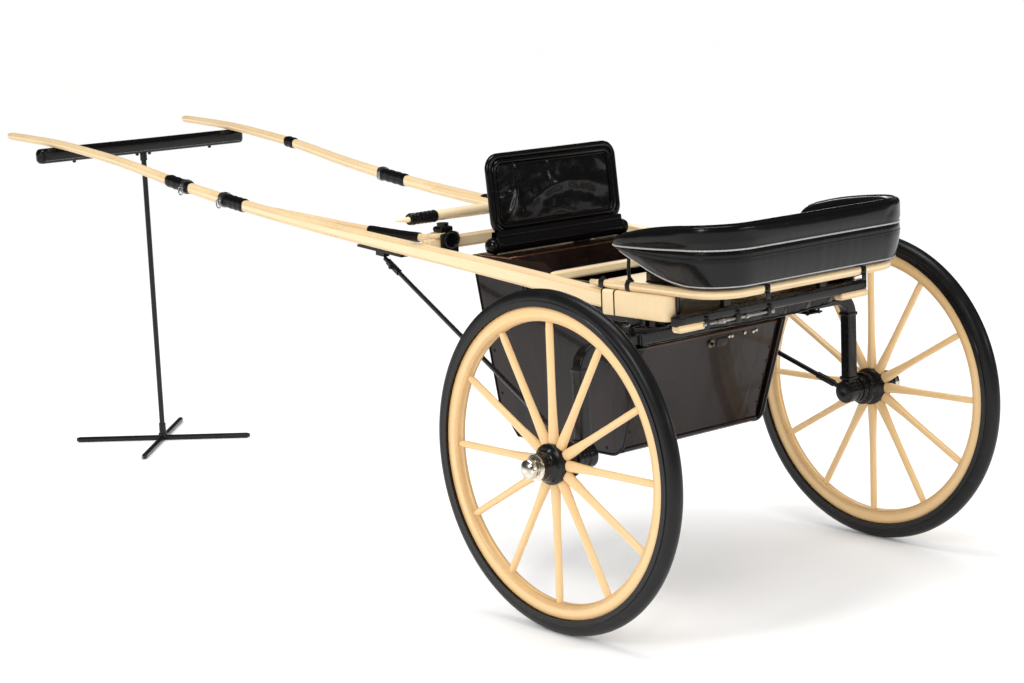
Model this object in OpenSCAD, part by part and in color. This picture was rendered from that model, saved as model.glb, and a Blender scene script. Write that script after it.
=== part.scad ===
// Two-wheeled horse cart with bent wooden shafts, an arched axle and a low foot well.
// +Y is forward, towards the shaft tips, +X is the cart's right side, and Z = 0 is the ground.

/* [Wheels] */
// Diameter over the rubber tyre
wheel_d = 1040; // [900:10:1250]
// Distance between the two wheels' middle planes
track = 1446; // [1380:2:1560]
// Width of the rubber tyre
tyre_w = 50; // [40:1:60]
// Height of the rubber from its channel to its crown
tyre_h = 45; // [36:1:54]
// Thickness of the steel channel under the tyre
channel_t = 5; // [3:0.5:8]
// Radial depth of the wooden rim
felloe_depth = 46; // [36:1:56]
// Width of the wooden rim along the axle
felloe_w = 38; // [30:1:46]
// Number of spokes in a wheel
spoke_count = 12; // [10:1:16]
// Radius of a spoke at the hub
spoke_r_hub = 15; // [12:0.5:16]
// Radius of a spoke at the rim
spoke_r_rim = 11; // [8:0.5:14]
// Radius of the hub's barrel where the spokes stand
hub_r = 62; // [58:1:80]
// Length of the hub from its middle plane to its inner face
hub_inner = 85; // [70:1:92]
// Length of the hub from its middle plane to its outer face
hub_outer = 75; // [60:1:100]
// Radius of the hub cap's nut
cap_r = 29; // [24:1:34]
// Length of the hub cap
cap_len = 46; // [36:1:60]

/* [Axle] */
// Radius of the wheel spindle
spindle_r = 16; // [12:0.5:22]
// Radial running clearance between spindle and hub
spindle_gap = 0.05; // [0.02:0.01:0.1]
// Height of the axle's raised middle
arch_z = 840; // [780:5:880]
// Side of the axle's square bar
axle_bar = 40; // [32:1:46]
// Radius of the axle's bends, to the middle of the bar
axle_bend = 62; // [50:1:90]
// Radius of the boss that carries the spindle
boss_r = 38; // [32:1:46]

/* [Springs] */
// Half the length of the longest spring leaf
spring_half = 190; // [150:5:195]
// Width of a spring leaf
leaf_w = 40; // [30:1:46]
// Thickness of one leaf
leaf_t = 6; // [4:0.5:8]
// Rise of the longest leaf's ends
spring_rise = 22; // [14:1:28]
// Number of leaves
leaf_count = 4; // [2:1:4]

/* [Shafts] */
// Reach of the shaft tips ahead of the axle
shaft_reach = 3650; // [3200:10:4000]
// Distance from the middle line to the middle of a shaft at the body
shaft_half = 400; // [380:2:420]
// How far each tip flares outward
shaft_flare = 30; // [0:1:60]
// Height of a shaft's middle line at the axle
shaft_z = 955; // [940:1:1000]
// Rise of the tips above that height
shaft_rise = 370; // [300:5:420]
// Depth of a shaft at the body
shaft_depth = 54; // [46:1:60]
// Depth of a shaft at its tip
shaft_depth_tip = 30; // [24:1:40]
// Width of a shaft at the body
shaft_w = 46; // [38:1:54]
// Width of a shaft at its tip
shaft_w_tip = 28; // [22:1:36]
// Front end of the blocks at the rear of the shafts
block_front = 88; // [70:1:110]
// Length of a block
block_len = 280; // [240:2:300]
// Width of a block
block_w = 62; // [50:1:66]
// Height of a block
block_h = 78; // [70:1:84]
// Thickness of the iron plate on a block's end
plate_t = 8; // [5:0.5:12]
// Side of the bar across the rear
rear_bar = 38; // [30:1:44]

/* [Cross pieces] */
// Distance of the front crossbar ahead of the axle
crossbar_y = 985; // [940:5:1020]
// Width of the front crossbar, fore and aft
crossbar_w = 46; // [36:1:56]
// Height of the front crossbar
crossbar_h = 40; // [30:1:50]
// Half the length of the singletree
tree_half = 500; // [440:5:540]
// Radius of the singletree at its middle
tree_r = 20; // [16:0.5:24]
// Radius of the singletree before its pointed tips
tree_r_end = 14; // [11:0.5:16]
// Gap under the singletree
tree_gap = 55; // [50:1:80]
// Radius of the singletree's pivot bolt
bolt_r = 8; // [6:0.5:10]
// Radial running clearance of the small pins
pin_gap = 0.05; // [0.02:0.01:0.1]
// Radius of the trace holes in the singletree
trace_hole_r = 6; // [4:0.5:8]
// Distance of the trace holes in from the tips
trace_inset = 70; // [60:1:90]

/* [Body] */
// Outer width of the foot well
body_w = 640; // [600:2:660]
// Thickness of the body panels
wall = 12; // [8:1:16]
// Height of the underside of the floor
floor_z = 446; // [430:2:500]
// Distance of the well's rear top edge ahead of the axle
body_rear = 30; // [28:1:40]
// Distance of the front top edge ahead of the axle
body_front = 812; // [790:2:830]
// Height of the front top edge
body_top = 1030; // [1010:2:1040]
// Height of the rear door's top edge
door_top = 800; // [740:2:806]
// Clearance round the rear door
door_gap = 5; // [5:0.5:8]
// Radius of the door's hinge pin
door_pin_r = 5; // [4:0.5:7]
// Backward lean of the closed door
door_lean = 18; // [12:0.5:22]

/* [Dash] */
// Width of the dash frame, to the middle of its tube
dash_w = 560; // [520:2:600]
// Height of the dash frame, to the middle of its tube
dash_h = 250; // [220:2:280]
// Radius of the dash frame's tube
dash_tube = 11; // [9:0.5:14]
// Corner radius of the dash frame
dash_corner = 42; // [32:1:60]
// Forward lean of the dash
dash_lean = 6; // [0:1:12]
// Distance of the dash ahead of the axle
dash_y = 742; // [720:2:760]
// Radius of the padded roll under the dash
roll_r = 28; // [22:1:32]
// Rear edge of the cowl board under the roll, ahead of the axle
cowl_y = 622; // [616:2:660]
// Drop of the cowl's apron below the board
apron_h = 60; // [40:2:90]

/* [Seat] */
// Half the width of the seat rail, to its middle
rail_half = 410; // [402:1:414]
// Distance of the seat rail's rear behind the axle
rail_rear = 385; // [340:5:420]
// Width of the rail
rail_w = 24; // [20:1:26]
// Height of the rail
rail_h = 28; // [22:1:34]
// Corner radius of the rail
rail_corner = 120; // [90:5:150]
// Front end of the rail and the seat board, ahead of the axle
seat_front = 150; // [120:5:180]
// Thickness of the seat board
board_t = 14; // [10:1:18]
// Thickness of the seat cushion
cushion_t = 60; // [40:1:80]
// Front end of the seat cushion, ahead of the axle
cushion_front = -50; // [-90:5:140]
// Thickness of the padded back
back_t = 62; // [50:1:70]
// Height of the padded back at the rear
back_h = 196; // [160:2:220]
// Radius of an arm iron
arm_r = 6; // [5:0.5:8]

/* [Stand] */
// Distance of the stand ahead of the axle
stand_y = 3300; // [3000:10:3500]
// Half the length of the stand's padded crossbar
stand_half = 500; // [450:5:560]
// Height of the padded crossbar
stand_bar_h = 62; // [50:1:80]
// Depth of the padded crossbar
stand_bar_d = 46; // [36:1:60]
// Radius of the stand's pole
pole_r = 11; // [9:0.5:16]
// Radius of the stand's foot bars
foot_r = 11; // [9:0.5:14]
// Half the length of a foot bar
foot_half = 365; // [320:5:420]

/* [Hidden] */

$fn = 64;
cream = "#e8c88c";
iron = "#1c1c1e";
leather = "#141212";
enamel = "#1a1110";
nickel = "#c9c6bd";
rubber = "#121212";

seat_gap = 0.3;                 // clearance of a seated or rounded contact
wheel_r = wheel_d/2;
channel_r = wheel_r - tyre_h;   // outside of the steel channel
felloe_r = channel_r - channel_t;
felloe_in = felloe_r - felloe_depth;
hub_face = track/2 - hub_inner; // inner face of a hub, from the middle line
post_x = hub_face - 32;         // middle of an axle post
axle_top = arch_z + axle_bar/2;

// Shaft curve: fraction of the reach, fraction of the rise, fraction of the flare
shaft_start = 40;
shaft_curve = [[0, 0, 0], [0.17, 0.15, 0], [0.4, 0.33, 0], [0.55, 0.48, 0.1], [0.66, 0.63, 0.25],
    [0.75, 0.78, 0.45], [0.82, 0.87, 0.6], [0.9, 0.95, 0.8], [1, 1, 1]];
curve_steps = 4;

function mix(a, b, t) = a + (b - a)*t;
// Point on a smooth curve through four neighbours, t from the second to the third
function spline(a, b, c, d, t) =
    b + t*(c - a)/2 + t*t*(2*a - 5*b + 4*c - d)/2 + t*t*t*(3*b - a - 3*c + d)/2;
function curve_points(c, n) =
    let(last = len(c) - 1)
    concat([for (i = [0:last - 1], k = [0:n - 1])
        spline(c[max(i - 1, 0)], c[i], c[i + 1], c[min(i + 2, last)], k/n)], [c[last]]);
function shaft_y(p) = mix(shaft_start, shaft_reach, p[0]);
shaft_points = curve_points(shaft_curve, curve_steps);
shaft_ys = [for (p = shaft_points) shaft_y(p)];
shaft_zs = [for (p = shaft_points) shaft_z + shaft_rise*p[1]];
function shaft_mid(y) = lookup(y, [for (i = [0:len(shaft_ys) - 1]) [shaft_ys[i], shaft_zs[i]]]);
function shaft_part(y) = (y - shaft_start)/(shaft_reach - shaft_start);
function shaft_deep(y) = mix(shaft_depth, shaft_depth_tip, shaft_part(y));
function shaft_wide(y) = mix(shaft_w, shaft_w_tip, shaft_part(y));
function shaft_bottom(y) = shaft_mid(y) - shaft_deep(y)/2;
function shaft_top(y) = shaft_mid(y) + shaft_deep(y)/2;

block_rear = block_front - block_len;
block_bottom = shaft_z - block_h/2;
block_top = shaft_z + block_h/2;
rail_z = max(block_top, shaft_top(seat_front)) + seat_gap;
rail_top = rail_z + rail_h;
board_half = rail_half - rail_w/2 - seat_gap;
board_rear = rail_rear - rail_w/2 - seat_gap;
well_half = body_w/2;
door_half = well_half - wall - door_gap;
hinge_z = floor_z + 18;
hinge_y = body_rear + 12 + (door_top - hinge_z)*tan(door_lean);
door_long = (door_top - hinge_z)/cos(door_lean);
side_top = block_top - 8;       // top edge of the well's sides under the seat
crossbar_half = shaft_half - shaft_wide(crossbar_y)/2 - seat_gap;
crossbar_z = shaft_mid(crossbar_y) + 16;
crossbar_top = crossbar_z + crossbar_h/2;
tree_z = crossbar_top + tree_gap + tree_r;
roll_z = body_top + roll_r + seat_gap;
dash_bottom = roll_z + roll_r + dash_tube + seat_gap;
stand_top = shaft_bottom(stand_y - stand_bar_d/2) - seat_gap;
back_over = 17;                 // how far the padded back stands in over the rail
back_rear = rail_rear + back_t - back_over;
mid_y = (shaft_reach - max(wheel_r, back_rear))/2;

// Everything is drawn with the axle over Y = 0, then moved so that the origin is mid-length
module placed() translate([0, -mid_y, 0]) children();

// Both sides from the right-hand one
module both_sides() {
    children();
    mirror([1, 0, 0]) children();
}

// Round bar between two points
module rod(p, q, r) {
    d = q - p;
    translate(p)
        rotate([0, acos(d[2]/norm(d)), atan2(d[1], d[0])])
            cylinder(h = norm(d), r = r, $fn = 32);
}

// Outline in Y and Z, extruded along X from x0 to x1
module across(x0, x1) translate([x0, 0, 0]) rotate([90, 0, 90]) linear_extrude(x1 - x0) children();

// Plan outline of a U round the rear: half-width, rear edge and corner radius of its outside
module u_outline(half, rear, corner, front) {
    translate([-half, corner - rear]) square([2*half, front + rear - corner]);
    translate([corner - half, -rear]) square([2*(half - corner), corner + 1]);
    for (s = [-1, 1]) translate([s*(half - corner), corner - rear]) circle(corner, $fn = 96);
}
module u_ring(half, rear, corner, front, w) {
    difference() {
        u_outline(half, rear, corner, front);
        u_outline(half - w, rear - w, corner - w, front + 1);
    }
}

// ---------- shafts and their irons ----------
module shaft_solid() {
    n = len(shaft_points) - 1;
    ys = shaft_ys;
    side = concat([for (i = [0:n]) [ys[i], shaft_bottom(ys[i])]],
        [for (i = [n:-1:0]) [ys[i], shaft_top(ys[i])]]);
    xs = [for (p = shaft_points) shaft_half + shaft_flare*p[2]];
    plan = concat([for (i = [0:n]) [xs[i] - shaft_wide(ys[i])/2, ys[i]]],
        [for (i = [n:-1:0]) [xs[i] + shaft_wide(ys[i])/2, ys[i]]]);
    start = block_front + seat_gap;
    intersection() {
        across(shaft_half - 100, shaft_half + 150) polygon(side);
        translate([0, 0, shaft_z - 200]) linear_extrude(shaft_rise + 400) polygon(plan);
        translate([0, start, 0]) cube([2*shaft_half, shaft_reach, 3*shaft_z]);
    }
}
module left_shaft() color(cream) placed() mirror([1, 0, 0]) shaft_solid();
module right_shaft() color(cream) placed() shaft_solid();

module shaft_blocks() color(cream) placed() both_sides()
    translate([shaft_half - block_w/2, block_rear, block_bottom])
        cube([block_w, block_len, block_h]);

module block_plates() color(iron) placed() both_sides()
    translate([shaft_half - block_w/2, block_rear - plate_t, block_bottom])
        cube([block_w, plate_t, block_h]);

// Bar across the rear between the two blocks' end plates
rear_bar_y = block_rear - plate_t - rear_bar;
rear_bar_z = block_bottom - 12;
module rear_bar() color(iron) placed() {
    half = shaft_half + block_w/2 + 8;
    translate([rear_bar/2 - half, rear_bar_y, rear_bar_z]) cube([2*half - rear_bar, rear_bar, rear_bar]);
    for (s = [-1, 1]) translate([s*(half - rear_bar/2), rear_bar_y + rear_bar/2, rear_bar_z])
        cylinder(h = rear_bar, r = rear_bar/2);
}

// Thin board between the blocks, behind the well
module rear_deck() color(enamel) placed() {
    half = shaft_half - block_w/2 - seat_gap;
    translate([-half, rear_bar_y + rear_bar, block_bottom + 6])
        cube([2*half, block_front - rear_bar_y - rear_bar - 40, wall]);
}

// ---------- front cross pieces ----------
module front_crossbar() color(cream) placed()
    translate([-crossbar_half, crossbar_y - crossbar_w/2, crossbar_z - crossbar_h/2])
        cube([2*crossbar_half, crossbar_w, crossbar_h]);

// Bent braces that sweep forward from the crossbar into the shafts
brace_reach = 860;
brace_w = 30;
module crossbar_braces() color(cream) placed() both_sides() {
    y0 = crossbar_y + crossbar_w/2 + seat_gap;
    y1 = y0 + brace_reach;
    x1 = shaft_half - shaft_wide(y1)/2 - brace_w/2 + 1.2;
    slope = atan((shaft_mid(y1) - crossbar_z)/brace_reach);
    path = curve_points([[x1 - 130, 0], [x1 - 62, 160], [x1 - 24, 400], [x1, brace_reach - 14]], 5);
    n = len(path) - 1;
    outline = concat([for (i = [0:n]) path[i] - [brace_w/2, 0]],
        [for (i = [n:-1:0]) path[i] + [brace_w/2, 0]]);
    translate([0, y0 + 3, crossbar_z]) rotate([slope, 0, 0])
        translate([0, 0, -14]) linear_extrude(28) polygon(outline);
}

module singletree() color(cream) placed() translate([0, crossbar_y, tree_z]) difference() {
    hole_x = tree_half - trace_inset;
    tip = 60;
    union() {
        for (s = [-1, 1]) rotate([0, s*90, 0]) {
            cylinder(h = tree_half - tip, r1 = tree_r, r2 = tree_r_end);
            translate([0, 0, tree_half - tip]) cylinder(h = tip, r1 = tree_r_end, r2 = 4);
        }
        for (s = [-1, 1]) translate([s*hole_x, 0, -tree_r]) cylinder(h = 2*tree_r, r = trace_hole_r + 8);
        translate([0, 0, -tree_r - 3]) cylinder(h = 2*tree_r + 6, r = bolt_r + 16);
    }
    for (s = [-1, 1]) translate([s*hole_x, 0, -tree_r - 1]) cylinder(h = 2*tree_r + 2, r = trace_hole_r);
    translate([0, 0, -tree_r - 4]) cylinder(h = 2*tree_r + 8, r = bolt_r + pin_gap);
}

module singletree_bolt() color(iron) placed() translate([0, crossbar_y, crossbar_top]) {
    cylinder(h = tree_gap + 2*tree_r + 18, r = bolt_r);
    cylinder(h = tree_gap - 3 - seat_gap, r = bolt_r + 12);
    translate([0, 0, tree_gap + 2*tree_r + 4]) cylinder(h = 12, r = bolt_r + 10, $fn = 6);
}

module singletree_rests() color(iron) placed() both_sides()
    translate([300, crossbar_y, crossbar_top]) {
        cylinder(h = 12, r = 24);
        cylinder(h = tree_gap - 7, r = 12);
        translate([0, 0, tree_gap - 19]) cylinder(h = 12, r = 20);
    }

// Iron straps under the shafts that take the tops of the stays
iron_y = 1190;
iron_len = 240;
iron_t = 8;
iron_slope = atan((shaft_bottom(iron_y + 120) - shaft_bottom(iron_y - 120))/240);
module shaft_irons() color(iron) placed() both_sides()
    translate([shaft_half, iron_y, shaft_bottom(iron_y) - 1]) rotate([iron_slope, 0, 0]) {
        translate([-16, -iron_len/2, -iron_t]) cube([32, iron_len, iron_t]);
        translate([-12, -22, -iron_t - 14]) cube([24, 44, 15]);
    }

stay_r = 8;
module axle_stays() color(iron) placed() both_sides()
    rod([shaft_half + 4, iron_y - 14, shaft_bottom(iron_y) - iron_t - 23.5],
        [post_x, boss_r + 6, wheel_r + 12], stay_r);

// ---------- axle and springs ----------
// The raised middle, its bent corners, the posts, and the stubs that carry the wheels
axle_straight = post_x - axle_bend;
module axle() color(iron) placed()
    translate([-axle_straight, -axle_bar/2, arch_z - axle_bar/2]) cube([2*axle_straight, axle_bar, axle_bar]);

module axle_cranks() color(iron) placed() both_sides()
    translate([axle_straight, axle_bar/2, arch_z - axle_bend]) rotate([90, 0, 0])
        rotate_extrude(angle = 90) translate([axle_bend - axle_bar/2, 0]) square(axle_bar);

module axle_boss() translate([hub_face - 64, 0, wheel_r]) rotate([0, 90, 0])
    cylinder(h = 63, r = boss_r);

module axle_posts() color(iron) placed() both_sides() difference() {
    translate([post_x - axle_bar/2, -axle_bar/2, wheel_r])
        cube([axle_bar, axle_bar, arch_z - axle_bend - wheel_r]);
    for (s = [-1, 1]) translate([s, 0, 0]) axle_boss();
}

module axle_stubs() color(iron) placed() both_sides() {
    axle_boss();
    translate([hub_face - 10, 0, wheel_r]) rotate([0, 90, 0])
        cylinder(h = hub_inner + hub_outer + 8, r = spindle_r);
}

// Stack of curved leaves on the axle, the longest on top
spring_r = spring_half*spring_half/(2*spring_rise);
module spring_stack() {
    middle_z = axle_top + seat_gap + leaf_count*leaf_t + spring_r;
    for (i = [0:leaf_count - 1]) {
        half = spring_half*(leaf_count - i)/leaf_count;
        a = asin(half/spring_r);
        translate([shaft_half - leaf_w/2, 0, middle_z]) rotate([0, 90, 0]) rotate([0, 0, -a])
            rotate_extrude(angle = 2*a, $fn = 180)
                translate([spring_r + i*leaf_t, 0]) square([leaf_t - 0.2, leaf_w]);
    }
}
module left_spring() color(iron) placed() mirror([1, 0, 0]) spring_stack();
module right_spring() color(iron) placed() spring_stack();

// Hangers between the spring's ends and the shafts above
module spring_hangers() color(iron) placed() both_sides() {
    for (y = [70 - spring_half, spring_half - 24]) {
        over = y < block_front ? block_bottom : shaft_bottom(y - 12);
        far = abs(y) + 12;
        bow = spring_r - sqrt(spring_r*spring_r - far*far);
        at = axle_top + leaf_count*leaf_t + bow + 2*seat_gap;
        translate([shaft_half - 20, y - 12, at]) cube([40, 24, over - seat_gap - at]);
    }
}

// ---------- body ----------
toe_y = 706;
toe_z = floor_z + 98;
toe_flat = 620;
// The heel's arc touches the floor and the rear edge, which leans with the door
heel_r = 60;
rear_edge = body_rear - 6;
heel_y = rear_edge + (door_top - floor_z)*tan(door_lean) + heel_r*(1 - sin(door_lean))/cos(door_lean);
side_outline = concat([[rear_edge, block_bottom - 20], [rear_edge, door_top]],
    [for (i = [0:6]) let(a = mix(180 + door_lean, 270, i/6))
        [heel_y + heel_r*cos(a), floor_z + heel_r*(1 + sin(a))]],
    [[toe_flat, floor_z], [toe_y, toe_z], [body_front, body_top], [480, body_top], [400, side_top],
    [150, side_top], [block_front + 10, block_bottom - 20]]);
module body_side() across(well_half - wall, well_half) polygon(side_outline);
module body_left_side() color(enamel) placed() mirror([1, 0, 0]) body_side();
module body_right_side() color(enamel) placed() body_side();

floor_start = hinge_y + 16;
module body_floor() color(enamel) placed()
    across(-well_half + wall, well_half - wall)
        polygon([[floor_start, floor_z], [toe_flat, floor_z], [toe_y, toe_z],
            [toe_y - 10, toe_z + 8], [toe_flat - 5, floor_z + wall], [floor_start, floor_z + wall]]);

module body_front_panel() color(enamel) placed()
    across(-well_half + wall, well_half - wall)
        polygon([[toe_y, toe_z], [body_front, body_top], [body_front - wall, body_top],
            [toe_y - 10, toe_z + 8]]);

// Board under the padded roll, with an apron down its rear edge
module dash_cowl() color(enamel) placed() {
    half = well_half - wall - seat_gap;
    board = wall - 2;
    lean = (body_front - toe_y)/(body_top - toe_z);
    end_y = body_front - wall - board*lean - 2*seat_gap;
    under = body_top - board;
    across(-half, half) polygon([[cowl_y, under - apron_h], [cowl_y + board, under - apron_h],
        [cowl_y + board, under], [end_y, under], [end_y, body_top], [cowl_y, body_top]]);
}

// Irons that hang the well from the shafts
module body_irons() color(iron) placed() both_sides() {
    for (y = [210, 560]) {
        reach = shaft_half - shaft_wide(y)/2 - seat_gap;
        translate([well_half, y - 16, shaft_mid(y) - 18]) cube([reach - well_half, 32, 10]);
        translate([well_half, y - 16, shaft_mid(y) - 120]) cube([8, 32, 112]);
    }
}

module door_place() translate([0, hinge_y, hinge_z]) rotate([door_lean, 0, 0]) children();
module rear_door() color(enamel) placed() door_place() difference() {
    knuckle = door_pin_r + 6;
    union() {
        translate([-door_half, -wall/2, 0]) cube([2*door_half, wall, door_long]);
        translate([-door_half, 0, 0]) rotate([0, 90, 0]) cylinder(h = 2*door_half, r = knuckle);
    }
    translate([-door_half - 1, 0, 0]) rotate([0, 90, 0])
        cylinder(h = 2*door_half + 2, r = door_pin_r + pin_gap);
}

module door_pin() color(iron) placed() {
    half = well_half - wall - seat_gap;
    translate([-half, hinge_y, hinge_z]) rotate([0, 90, 0]) cylinder(h = 2*half, r = door_pin_r);
}

module door_latch() color(nickel) placed() door_place()
    translate([0, -wall/2, door_long - 34]) rotate([90, 0, 0]) {
        cylinder(h = 3, r = 14);
        cylinder(h = 14, r = 5);
    }

// ---------- dash ----------
module dash_place() translate([0, dash_y, dash_bottom]) rotate([-dash_lean, 0, 0]) children();
module dash_frame() color(leather) placed() dash_place() {
    w = dash_w/2;
    for (s = [-1, 1]) {
        translate([s*w, 0, dash_corner]) cylinder(h = dash_h - 2*dash_corner, r = dash_tube);
        for (t = [0, 1]) mirror([s < 0 ? 1 : 0, 0, 0])
            translate([w - dash_corner, 0, t*(dash_h - 2*dash_corner) + dash_corner])
                rotate([90, 0, 0]) rotate([0, 0, t*90 - 90])
                    rotate_extrude(angle = 90) translate([dash_corner, 0]) circle(dash_tube);
    }
    for (z = [0, dash_h]) translate([dash_corner - w, 0, z]) rotate([0, 90, 0])
        cylinder(h = dash_w - 2*dash_corner, r = dash_tube);
}
module dash_panel() color(leather) placed() dash_place() {
    inset = dash_tube + seat_gap;
    translate([inset - dash_w/2, -5, inset]) difference() {
        cube([dash_w - 2*inset, 10, dash_h - 2*inset]);
        for (x = [0, dash_w - 2*inset], z = [0, dash_h - 2*inset])
            translate([x, -1, z]) rotate([-90, 0, 0]) rotate([0, 0, 45])
                translate([-19, -19, 0]) cube([38, 38, 12]);
    }
}
module dash_roll() color(leather) placed()
    translate([-well_half + 6, dash_y, roll_z]) rotate([0, 90, 0])
        cylinder(h = body_w - 12, r = roll_r);

// ---------- seat ----------
// Bar between the shafts, over the well's sides
cross_y = 360;
module seat_crossbar() color(cream) placed() {
    half = shaft_half - shaft_wide(cross_y)/2 - seat_gap;
    translate([-half, cross_y - 16, side_top + seat_gap]) cube([2*half, 32, 28]);
}

module seat_rail() color(cream) placed() translate([0, 0, rail_z]) linear_extrude(rail_h)
    u_ring(rail_half + rail_w/2, rail_rear + rail_w/2, rail_corner, seat_front, rail_w);

// Small irons that tie the rail and the seat board to the rear bar
bracket_x = 216;
module rail_brackets() color(iron) placed() for (x = [-bracket_x, bracket_x])
    translate([x - 14, 0, 0]) {
        low = rear_bar_z + rear_bar;
        translate([0, -board_rear + 6, rail_z - 8 - seat_gap]) cube([28, board_rear + rear_bar_y + 20, 8]);
        translate([0, rear_bar_y + 4, low]) cube([28, 16, rail_z - seat_gap - low]);
    }

module seat_board() color(cream) placed() translate([0, 0, rail_z]) linear_extrude(board_t)
    u_outline(board_half, board_rear, rail_corner - rail_w - seat_gap, seat_front);

cushion_z = rail_z + board_t + seat_gap;
back_half = rail_half + 40;
back_z = rail_top + seat_gap;
module seat_cushion() color(leather) placed() translate([0, 0, cushion_z]) linear_extrude(cushion_t)
    u_outline(back_half - back_t - 4, back_rear - back_t - 4, 90, cushion_front);

// Padded back that wraps round the sides, with wings that run out to a point
module seat_back() color(leather) placed() intersection() {
    linear_extrude(2*shaft_z) u_ring(back_half, back_rear, rail_corner + 30, 60, back_t);
    across(-back_half - 10, back_half + 10) polygon([
        [-back_rear - 1, back_z], [-190, back_z], [-60, back_z + 60], [30, back_z + 105],
        [20, back_z + 128], [-60, back_z + 158], [-200, back_z + back_h - 12],
        [-back_rear - 1, back_z + back_h]]);
}

arm_y = -20;
module arm_irons() color(iron) placed() both_sides()
    translate([rail_half, arm_y, rail_top]) cylinder(h = 76, r = arm_r);

// ---------- stand ----------
module stand_crossbar() color(leather) placed() translate([0, stand_y, stand_top - stand_bar_h/2]) {
    round_r = stand_bar_h/2;
    translate([round_r - stand_half, -stand_bar_d/2, -round_r])
        cube([2*(stand_half - round_r), stand_bar_d, stand_bar_h]);
    for (s = [-1, 1]) translate([s*(stand_half - round_r), stand_bar_d/2, 0]) rotate([90, 0, 0])
        cylinder(h = stand_bar_d, r = round_r);
}
module stand_pole() color(iron) placed() translate([0, stand_y, 2*foot_r + 1])
    cylinder(h = stand_top - stand_bar_h - 2*foot_r - 1, r = pole_r);
module stand_foot() color(iron) placed() translate([0, stand_y, foot_r]) {
    for (turn = [-45, 45]) rotate([0, 0, turn]) {
        translate([-foot_half, 0, 0]) rotate([0, 90, 0]) cylinder(h = 2*foot_half, r = foot_r);
        for (s = [-1, 1]) translate([s*foot_half, 0, 0]) sphere(foot_r);
    }
    cylinder(h = foot_r + 1, r = pole_r + 7);
}

// ---------- wheels ----------
// Local +Z points outward along the axle
module wheel_place(s) placed() translate([s*track/2, 0, wheel_r]) rotate([0, s*90, 0]) children();

module tyre() rotate_extrude($fn = 180) {
    crown = tyre_w/2;
    translate([channel_r, -crown]) square([tyre_h - crown, tyre_w]);
    intersection() {
        translate([wheel_r - crown, 0]) circle(crown);
        translate([channel_r + 1, -crown]) square([tyre_h, tyre_w]);
    }
}
module channel() rotate_extrude($fn = 180) {
    lip = 3;
    translate([felloe_r, -tyre_w/2 - lip]) square([channel_t, tyre_w + 2*lip]);
    for (s = [-1, 1]) translate([felloe_r, s*(tyre_w + lip)/2 - lip/2]) square([channel_t + 12, lip]);
}
module felloe() rotate_extrude($fn = 180)
    translate([felloe_in, -felloe_w/2]) square([felloe_depth, felloe_w]);
module spokes() for (i = [0:spoke_count - 1]) rotate([0, 0, i*360/spoke_count])
    translate([hub_r, 0, 0]) rotate([0, 90, 0])
        cylinder(h = felloe_in - hub_r - seat_gap, r1 = spoke_r_hub, r2 = spoke_r_rim, $fn = 32);
module hub() difference() {
    union() {
        translate([0, 0, -28]) cylinder(h = 56, r = hub_r);
        translate([0, 0, -hub_inner]) cylinder(h = hub_inner, r = hub_r - 18);
        translate([0, 0, -62]) cylinder(h = 12, r = hub_r - 8);
        cylinder(h = hub_outer, r = hub_r - 22);
        translate([0, 0, 28]) cylinder(h = 16, r1 = hub_r - 6, r2 = hub_r - 16);
    }
    translate([0, 0, -hub_inner - 1]) cylinder(h = hub_inner + hub_outer + 2, r = spindle_r + spindle_gap);
}
module cap() {
    translate([0, 0, hub_outer]) cylinder(h = 20, r = cap_r, $fn = 64);
    translate([0, 0, hub_outer + 20]) cylinder(h = cap_len - 20, r1 = cap_r - 3, r2 = cap_r - 9);
}

module left_tyre() color(rubber) wheel_place(-1) tyre();
module left_channel() color(iron) wheel_place(-1) channel();
module left_felloe() color(cream) wheel_place(-1) felloe();
module left_spokes() color(cream) wheel_place(-1) spokes();
module left_hub() color(iron) wheel_place(-1) hub();
module left_cap() color(nickel) wheel_place(-1) cap();
module right_tyre() color(rubber) wheel_place(1) tyre();
module right_channel() color(iron) wheel_place(1) channel();
module right_felloe() color(cream) wheel_place(1) felloe();
module right_spokes() color(cream) wheel_place(1) spokes();
module right_hub() color(iron) wheel_place(1) hub();
module right_cap() color(nickel) wheel_place(1) cap();

left_shaft();
right_shaft();
shaft_blocks();
block_plates();
rear_bar();
rear_deck();
front_crossbar();
crossbar_braces();
singletree();
singletree_bolt();
singletree_rests();
shaft_irons();
axle_stays();
axle();
axle_cranks();
axle_posts();
axle_stubs();
left_spring();
right_spring();
spring_hangers();
body_left_side();
body_right_side();
body_floor();
body_front_panel();
dash_cowl();
body_irons();
rear_door();
door_pin();
door_latch();
dash_frame();
dash_panel();
dash_roll();
seat_crossbar();
seat_rail();
rail_brackets();
seat_board();
seat_cushion();
seat_back();
arm_irons();
stand_crossbar();
stand_pole();
stand_foot();
left_tyre();
left_channel();
left_felloe();
left_spokes();
left_hub();
left_cap();
right_tyre();
right_channel();
right_felloe();
right_spokes();
right_hub();
right_cap();
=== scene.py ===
import math

import bmesh
import bpy
import numpy as np
from mathutils import Matrix, Vector, noise
from mathutils.kdtree import KDTree


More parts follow.
